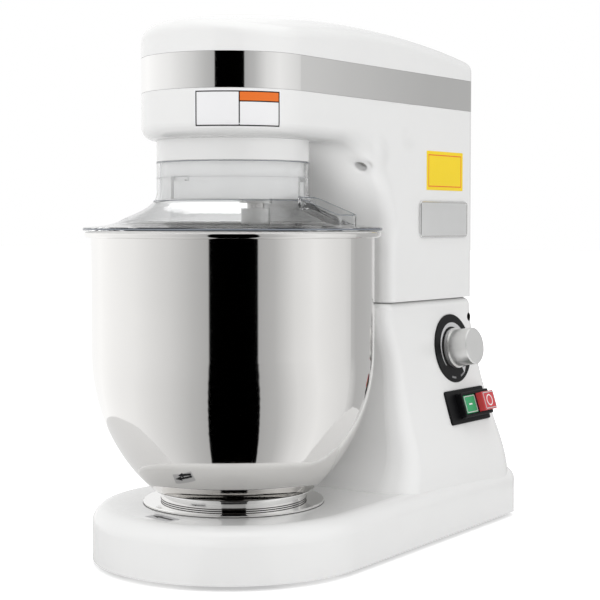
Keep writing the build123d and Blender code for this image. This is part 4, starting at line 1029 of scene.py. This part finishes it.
@dataclass
class GuardEdges:
    """Painted shade on the clear guard: dark lines at its brim, neck and knee and round the curb of the
    feed opening, where its edges look dark, and a pale line on the neck.
    """

    brim_r: float = GUARD_BOX.reach
    brim_low: float = GUARD_BOX.bottom + 0.6 * MM
    brim_high: float = GUARD_BOX.bottom + 1.8 * MM
    neck_r: float = 61.3 * MM
    neck_top: float = GUARD_BOX.top - 0.1 * MM
    neck_line: float = GUARD_BOX.top - 12.3 * MM
    knee_r: float = 63.5 * MM
    knee_z: float = GUARD_BOX.bottom + 23.9 * MM
    line: float = 0.5 * MM
    thin_line: float = 0.4 * MM
    line_t: float = 0.2 * MM
    curb_turn: float = math.radians(10.0)
    curb_in: float = 65.0 * MM
    curb_out: float = 102.0 * MM
    curb_wide: float = 38.0 * MM
    curb_wall: float = 2.2 * MM
    curb_corner: float = 6.0 * MM
    curb_top: float = GUARD_BOX.bottom + 19.0 * MM
    curb_fall: float = 0.40

    def curb(self, name: str, inset: float) -> bpy.types.Object:
        """A painted shade line along the curb's sloping top: a ring between two rounded rectangles.

        The height falls in step with the distance from the bowl's axis.

        Args:
            name: the piece's name.
            inset: how far the line lies inside the curb's outer face.

        Returns:
            The line.
        """
        long, wide, corner = self.curb_out - self.curb_in, self.curb_wide, self.curb_corner
        cuts = [inset + self.line, inset]
        inner, outer = (rounded_box(long - 2 * cut, wide - 2 * cut, corner - cut) for cut in cuts)
        p, q, w = np.moveaxis(ring(outer, inner, SKIN, self.line_t), -1, 0)
        reach = (self.curb_in + self.curb_out) / 2 + p
        c, s = math.cos(self.curb_turn), math.sin(self.curb_turn)
        grid = np.stack([reach * c - q * s, BOWL_Y + reach * s + q * c,
                         self.curb_top - self.curb_fall * p + w], axis=-1)
        return put_ring(name, grid)

    def build(self, shop: Workshop) -> None:
        """Make the painted shade lines and the neck line and let them move with the guard.

        Args:
            shop: fits the pieces to the frame.
        """
        edges = [hoop("guard_brim_edge", self.brim_r, self.brim_low, self.brim_high),
                 hoop("guard_neck_edge", self.neck_r, self.neck_top - self.line, self.neck_top),
                 hoop("guard_knee_edge", self.knee_r, self.knee_z - self.line, self.knee_z, self.line),
                 self.curb("curb_outer_edge", 0.0),
                 self.curb("curb_inner_edge", self.curb_wall - self.line)]
        # painted shade: dark lines where the clear guard's edges look dark
        for edge in edges:
            shop.fit(edge, Body.GUARD, Look.PAINTED_EDGE_SHADE)
        line = hoop("guard_neck_line", self.neck_r, self.neck_line - self.thin_line, self.neck_line)
        shop.fit(line, Body.GUARD, Look.PALE_FILM)


@dataclass
class BowlGapShade:
    """Painted shade: dark rings in the gaps round the bowl's foot, under the bowl, above the seat and
    round the seat.
    """

    flange_r: float = FOOT_BOX.reach
    flange_z: float = FOOT_BOX.top - 0.1 * MM
    foot_r: float = 59.0 * MM
    foot_z: float = FOOT_BOX.bottom + 0.8 * MM
    seat_r: float = SEAT_BOX.reach
    seat_z: float = SEAT_BOX.bottom + 0.05 * MM
    line: float = 0.7 * MM
    seat_line: float = 0.42 * MM

    def build(self, shop: Workshop) -> None:
        """Make the painted shade rings and fix them to the bowl and the base.

        Args:
            shop: fits the pieces to the frame.
        """
        # painted shade: thin dark rings where shade falls in the gaps at the foot and round the seat's
        # base
        under = hoop("foot_gap_shade_upper", self.flange_r, self.flange_z - self.line, self.flange_z)
        above = hoop("foot_gap_shade_lower", self.foot_r, self.foot_z, self.foot_z + self.line)
        around = hoop("seat_gap_shade", self.seat_r, self.seat_z, self.seat_z + self.seat_line)
        shop.fit(under, Body.BOWL, Look.DARK_STEEL_AND_SHADE)
        shop.fit(above, Body.BOWL, Look.DARK_STEEL_AND_SHADE)
        shop.fit(around, Body.BASE, Look.DARK_STEEL_AND_SHADE)


@dataclass
class NoseLabel:
    """The blank label on the head's nose: white ground, dark border, a divider and a plain strip."""

    nose: NoseFrame = NoseFrame()
    size: tuple[float, float] = (66.5 * MM, 26.6 * MM)
    margin: float = 1.3 * MM
    line: float = 0.9 * MM
    divider_u: float = 0.4 * MM
    strip_high: float = 7.4 * MM
    ground_w: float = 0.12 * MM
    border_under: float = 0.05 * MM
    strip_w: float = 0.15 * MM
    print_w: float = 0.17 * MM
    cols: int = 40
    rows: int = 10

    def panel(self, name: str, left: float, right: float, low: float, high: float, over: float
              ) -> bpy.types.Object:
        """A thin panel bent round the nose.

        Args:
            name: the piece's name.
            left: u of its left edge.
            right: u of its right edge.
            low: v of its lower edge.
            high: v of its upper edge.
            over: w of its top.

        Returns:
            The panel.
        """
        grid = block(left, right, low, high, SKIN, over, self.cols, self.rows)
        return put_sheet(name, self.nose.place(grid))

    def border(self) -> bpy.types.Object:
        """The dark border: a ring between two rectangles, bent round the nose.

        Returns:
            The border.
        """
        wide, high = self.size
        outer = box_outline(wide, high, self.cols)
        inner = box_outline(wide - 2 * self.line, high - 2 * self.line, self.cols)
        grid = ring(outer, inner, self.border_under, self.print_w)
        return put_ring("label_border", self.nose.place(grid))

    def build(self, shop: Workshop) -> None:
        """Make the label's layers and fix them to the head.

        Args:
            shop: fits the pieces to the frame.
        """
        half_w, half_h = self.size[0] / 2, self.size[1] / 2
        edge_w, edge_h = half_w + self.margin, half_h + self.margin
        ground = self.panel("label_ground", -edge_w, edge_w, -edge_h, edge_h, self.ground_w)
        divider = self.panel("label_divider", self.divider_u - self.line / 2,
                             self.divider_u + self.line / 2, -half_h, half_h, self.print_w)
        head = self.panel("label_strip", self.divider_u, half_w, half_h - self.strip_high, half_h,
                          self.strip_w)
        under = self.panel("label_rule", self.divider_u, half_w, half_h - self.strip_high - self.line,
                           half_h - self.strip_high, self.print_w)
        shop.fit(ground, Body.HEAD, Look.WHITE_LABEL)
        shop.fit(self.border(), Body.HEAD, Look.BLACK_PRINT)
        shop.fit(divider, Body.HEAD, Look.BLACK_PRINT)
        shop.fit(head, Body.HEAD, Look.ORANGE_LABEL)
        shop.fit(under, Body.HEAD, Look.BLACK_PRINT)


@dataclass
class SidePlates:
    """The blank sticker and the bare metal plate on the head's control side."""

    sticker: WallFrame = WallFrame((HEAD_BOX.reach, 0.1247, 0.3188), 0.0)
    sticker_size: tuple[float, float] = (63.6 * MM, 34.4 * MM)
    sticker_corner: float = 0.8 * MM
    sticker_t: float = 0.14 * MM
    print_span: tuple[float, float] = (0.1 * MM, 0.17 * MM)
    line_inset: float = 3.0 * MM
    line: float = 0.9 * MM
    plate: WallFrame = WallFrame((0.0718, 0.121875, 0.2758), 0.0)
    plate_size: tuple[float, float] = (83.75 * MM, 33.0 * MM)
    rim_inset: float = 1.0 * MM
    rim_wide: float = 1.1 * MM
    rim_high: float = 0.35 * MM
    rim_corner: float = 2.6 * MM

    def ground(self) -> bpy.types.Object:
        """The sticker: a thin sheet with small round corners.

        Returns:
            The sheet.
        """
        outline = rounded_box(*self.sticker_size, self.sticker_corner)
        grid = lofted([outline, outline], [SKIN, self.sticker_t])
        return put_sheet("side_sticker", self.sticker.place(grid))

    def border(self) -> bpy.types.Object:
        """The sticker's printed border: a ring between two rectangles.

        Returns:
            The border.
        """
        wide, high = (side - 2 * self.line_inset for side in self.sticker_size)
        outer = box_outline(wide, high)
        inner = box_outline(wide - 2 * self.line, high - 2 * self.line)
        grid = ring(outer, inner, *self.print_span)
        return put_ring("side_sticker_border", self.sticker.place(grid))

    def rim(self) -> bpy.types.Object:
        """The plate's raised rim: a ring whose top is narrower than its foot, with round corners.

        Returns:
            The rim.
        """
        wide, high = (side - 2 * self.rim_inset for side in self.plate_size)
        sizes = [2 * self.rim_wide, 0.0, 0.5 * self.rim_wide, 1.5 * self.rim_wide]
        outlines = [rounded_box(wide - cut, high - cut, self.rim_corner - cut / 2) for cut in sizes]
        grid = lofted(outlines, [SKIN, SKIN, self.rim_high, self.rim_high])
        return put_ring("name_plate_rim", self.plate.place(grid))

    def build(self, shop: Workshop) -> None:
        """Make the sticker and the plate's rim and fix them to the head.

        Args:
            shop: fits the pieces to the frame.
        """
        shop.fit(self.ground(), Body.HEAD, Look.YELLOW_LABEL)
        shop.fit(self.border(), Body.HEAD, Look.ORANGE_LABEL)
        shop.fit(self.rim(), Body.HEAD, Look.POLISHED_STEEL)


@dataclass
class TurnArrows:
    """Plain arrows that show which way the bowl locks, on the bowl and on the base."""

    bowl: BowlFrame = BowlFrame()
    bowl_long: float = 15.0 * MM
    base_at: tuple[float, float, float] = (0.0, -180.0 * MM, SEAT_BOX.bottom + SKIN)
    base_turn: float = math.radians(-11.6)
    base_long: float = 24.0 * MM
    patch: tuple[float, float] = (28.0 * MM, 13.0 * MM)
    patch_corner: float = 1.0 * MM
    patch_t: float = 0.06 * MM
    base_span: tuple[float, float] = (0.07 * MM, 0.13 * MM)
    bowl_span: tuple[float, float] = (SKIN, 0.12 * MM)
    head_share: float = 0.38
    head_half: float = 0.13
    shaft_half: float = 0.055
    tip_half: float = 0.004
    step: float = 0.004
    head_steps: int = 10
    shaft_steps: int = 14
    cross_steps: int = 4

    def arrow(self, length: float, under: float, over: float) -> np.ndarray:
        """An arrow that points to low u: its half width grows over the head, then steps to the shaft.

        Args:
            length: the arrow's length.
            under: w of the underside.
            over: w of the top.

        Returns:
            A strip of (u, v, w) points.
        """
        neck = self.head_share
        share = np.concatenate([np.linspace(0.0, neck, self.head_steps),
                                np.linspace(neck + self.step, 1.0, self.shaft_steps)])
        half = np.interp(share, [0.0, neck, neck + self.step, 1.0],
                         [self.tip_half, self.head_half, self.shaft_half, self.shaft_half]) * length
        return strip((share - 0.5) * length, -half, half, under, over, self.cross_steps)

    def on_base(self, points: np.ndarray) -> np.ndarray:
        """Lay (u, v, w) points on the base's flat top, turned about the upright axis.

        Args:
            points: an (..., 3) array.

        Returns:
            An array of the same shape in the row frame.
        """
        c, s = math.cos(self.base_turn), math.sin(self.base_turn)
        axes = np.array([[c, s, 0.0], [-s, c, 0.0], [0.0, 0.0, 1.0]])
        return np.asarray(self.base_at) + points @ axes

    def build(self, shop: Workshop) -> None:
        """Make the arrows and fix them to the bowl and the base.

        Args:
            shop: fits the pieces to the frame.
        """
        mark = self.bowl.place(self.arrow(self.bowl_long, *self.bowl_span))
        shop.fit(put_sheet("bowl_arrow", mark), Body.BOWL, Look.BLACK_PRINT)
        sheet = rounded_box(*self.patch, self.patch_corner)
        ground = self.on_base(lofted([sheet, sheet], [0.0, self.patch_t]))
        shop.fit(put_sheet("base_patch", ground), Body.BASE, Look.PALE_FILM)
        mark = self.on_base(self.arrow(self.base_long, *self.base_span))
        shop.fit(put_sheet("base_arrow", mark), Body.BASE, Look.BLACK_PRINT)


# Studio


@dataclass(frozen=True)
class Lamp:
    """A square soft lamp that lights the machine and stays out of sight."""

    name: str
    place: tuple[float, float, float]
    aim: tuple[float, float, float]
    size: float
    watts: float
    spread: float = 180.0

    def hang(self) -> None:
        """Make the lamp and turn it to face its aim."""
        data = bpy.data.lights.new(self.name, "AREA")
        data.energy = self.watts
        data.size = self.size
        data.spread = math.radians(self.spread)
        lamp = bpy.data.objects.new(self.name, data)
        lamp.location = self.place
        towards = np.asarray(self.aim) - np.asarray(self.place)
        flat = math.hypot(towards[0], towards[1])
        lamp.rotation_euler = (math.atan2(flat, -towards[2]), 0.0, math.atan2(-towards[0], towards[1]))
        lamp.visible_glossy = lamp.visible_camera = lamp.visible_transmission = False
        bpy.context.scene.collection.objects.link(lamp)


@dataclass
class Studio:
    """A white studio: floor, world, soft lamps, a reflecting tent and the camera."""

    eye: tuple[float, float, float] = (0.7455, -1.0383, 0.2722)
    pitch: float = math.radians(90.0 - 2.94)
    yaw: float = math.radians(35.67)
    lens: float = 89.48
    lamps: tuple[Lamp, ...] = (
        Lamp("key", (-1.3, -1.5, 1.1), (0.0, -0.05, 0.25), 1.4, 2.6),
        Lamp("top", (0.2, -0.2, 2.0), (0.0, 0.0, 0.2), 1.4, 8.5),
        Lamp("fill", (0.75, -1.45, 0.42), (0.0, 0.0, 0.28), 0.8, 3.0),
        Lamp("side", (1.6, 0.35, 0.6), (0.0, 0.05, 0.22), 1.0, 1.8),
        Lamp("throat", (0.05, -0.022, 0.288), (0.045, 0.03, 0.33), 0.05, 0.009, 130.0),
    )
    floor_half: float = 12.0
    floor_colour: tuple[float, float, float, float] = (0.82, 0.82, 0.82, 1.0)
    floor_glow: tuple[float, float] = (0.47, 1.0)
    floor_fade: tuple[float, float] = (0.45, 1.3)
    sky_level: float = 0.84
    tent_r: float = 1.9
    tent_low: float = 0.002
    tent_top: float = 2.4
    tent_steps: int = 176
    tent_turns: tuple[float, ...] = (-175.0, -130.0, -82.0, -50.0, -30.0, -18.8, -18.0, 18.2, 19.0,
                                     31.0, 48.0, 66.0, 98.0, 112.0, 150.0, 175.0)
    tent_light: tuple[float, ...] = (1.0, 1.2, 1.02, 0.78, 0.58, 0.50, 0.0, 0.0, 0.48,
                                     0.56, 0.86, 1.0, 0.84, 0.52, 0.55, 0.9)
    tent_foot: tuple[float, ...] = (0.6, 0.42, 0.26, 0.10, 0.10, 0.10, 0.10, 0.10, 0.10,
                                    0.10, 0.10, 0.14, 0.34, 0.42, 0.5, 0.6)

    def camera(self) -> None:
        """Set up the camera at the photograph's viewing angle."""
        data = bpy.data.cameras.new("camera")
        data.lens = self.lens
        data.sensor_width = 36.0
        data.clip_end = 60.0
        eye = bpy.data.objects.new("camera", data)
        eye.location = self.eye
        eye.rotation_euler = (self.pitch, 0.0, self.yaw)
        bpy.context.scene.collection.objects.link(eye)
        bpy.context.scene.camera = eye

    def world(self) -> None:
        """White to the camera, mirrors and glass, and an even soft light to everything else."""
        world = bpy.data.worlds.new("studio")
        bpy.context.scene.world = world
        world.use_nodes = True
        tree = world.node_tree
        tree.nodes.clear()
        path = tree.nodes.new("ShaderNodeLightPath")
        seen = path.outputs["Is Camera Ray"]
        for ray in ("Is Glossy Ray", "Is Transmission Ray"):
            either = tree.nodes.new("ShaderNodeMath")
            either.operation = "MAXIMUM"
            tree.links.new(seen, either.inputs[0])
            tree.links.new(path.outputs[ray], either.inputs[1])
            seen = either.outputs[0]
        mix = tree.nodes.new("ShaderNodeMixShader")
        tree.links.new(seen, mix.inputs["Fac"])
        for number, level in enumerate((self.sky_level, 1.0), start=1):
            light = tree.nodes.new("ShaderNodeBackground")
            light.inputs["Color"].default_value = WHITE
            light.inputs["Strength"].default_value = level
            tree.links.new(light.outputs[0], mix.inputs[number])
        out = tree.nodes.new("ShaderNodeOutputWorld")
        tree.links.new(mix.outputs[0], out.inputs["Surface"])

    def floor(self) -> None:
        """A wide flat floor that shows the machine's shadow and fades to plain white further out.

        The glow that the camera sees, also through clear plastic, grows in step with the distance
        from the origin.
        """
        side = np.linspace(-self.floor_half, self.floor_half, 3)
        x, y = np.meshgrid(side, side, indexing="xy")
        floor = put_grid("floor", np.stack([x, y, np.zeros_like(x)], axis=-1))
        shader = Shader("floor_white")
        shader.set(Base_Color=self.floor_colour, Roughness=0.9, Specular_IOR_Level=0.1,
                   Emission_Color=WHITE)
        far = shader.vector("LENGTH", shader.coords()).outputs["Value"]
        path = shader.node("ShaderNodeLightPath")
        seen = shader.maths("MAXIMUM", path.outputs["Is Camera Ray"], path.outputs["Is Transmission Ray"])
        glow = shader.spread(far, *self.floor_glow, *self.floor_fade)
        shader.drive("Emission Strength", shader.maths("MULTIPLY", glow, seen))
        floor.data.materials.append(shader.material)

    def tent(self) -> None:
        """A curved screen that only mirrors see: an upright cylinder round the bowl with a floor strip.

        Its brightness and the inner edge of its floor strip are straight-line runs over the angle
        from the camera's direction.
        """
        even = np.linspace(self.tent_turns[0], self.tent_turns[-1], self.tent_steps)
        turn = np.unique(np.concatenate([even, self.tent_turns]))
        light = np.interp(turn, self.tent_turns, self.tent_light)
        foot = np.interp(turn, self.tent_turns, self.tent_foot)
        around = math.atan2(self.eye[1] - BOWL_Y, self.eye[0]) + np.radians(turn)
        radius = np.stack([foot, np.full_like(foot, self.tent_r), np.full_like(foot, self.tent_r)])
        height = np.array([[self.tent_low], [self.tent_low], [self.tent_top]])
        x, y = radius * np.cos(around), BOWL_Y + radius * np.sin(around)
        grid = np.stack([x, y, np.broadcast_to(height, x.shape)], axis=-1)
        tent = put_grid("tent", grid)
        glow = tent.data.attributes.new("glow", "FLOAT", "POINT")
        glow.data.foreach_set("value", np.tile(light, 3).astype(np.float32))
        shader = Shader("tent")
        read = shader.node("ShaderNodeAttribute")
        read.attribute_name = "glow"
        shader.set(Base_Color=BLACK, Specular_IOR_Level=0.0, Roughness=1.0, Emission_Color=WHITE)
        shader.drive("Emission Strength", read.outputs["Fac"])
        tent.data.materials.append(shader.material)
        tent.visible_camera = tent.visible_diffuse = tent.visible_shadow = False
        tent.visible_transmission = tent.visible_volume_scatter = False

    def build(self) -> None:
        """Set up the whole studio."""
        bpy.context.scene.view_settings.view_transform = "Standard"
        self.camera()
        self.world()
        self.floor()
        self.tent()
        for lamp in self.lamps:
            lamp.hang()
        LOG.info("studio: camera, world, floor, tent and lamps")


def dress_nodes(palette: Palette) -> None:
    """Give every carried-over piece its finish, and let light pass the clear guard.

    Args:
        palette: holds the finishes.
    """
    for look, nodes in NODE_LOOKS.items():
        for node in nodes:
            palette.coat(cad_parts[node], look)
            LOG.info("%s: %s", node, look.value.name)
    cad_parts["splash_guard"].visible_shadow = False


def main() -> None:
    """Build the pieces in order, dress everything and set up the studio."""
    logging.basicConfig(level=logging.INFO, format="%(name)s: %(message)s")
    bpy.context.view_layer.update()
    palette = Palette()
    shop = Workshop(palette)
    dress_nodes(palette)
    for assembly in (SpeedDial(), SwitchButtons(), HingeBoreShade(), GuardEdges(), BowlGapShade(), NoseLabel(),
                     SidePlates(), TurnArrows()):
        assembly.build(shop)
    Studio().build()
    LOG.info("%d added pieces", shop.count)


if __name__ == "__main__":
    main()
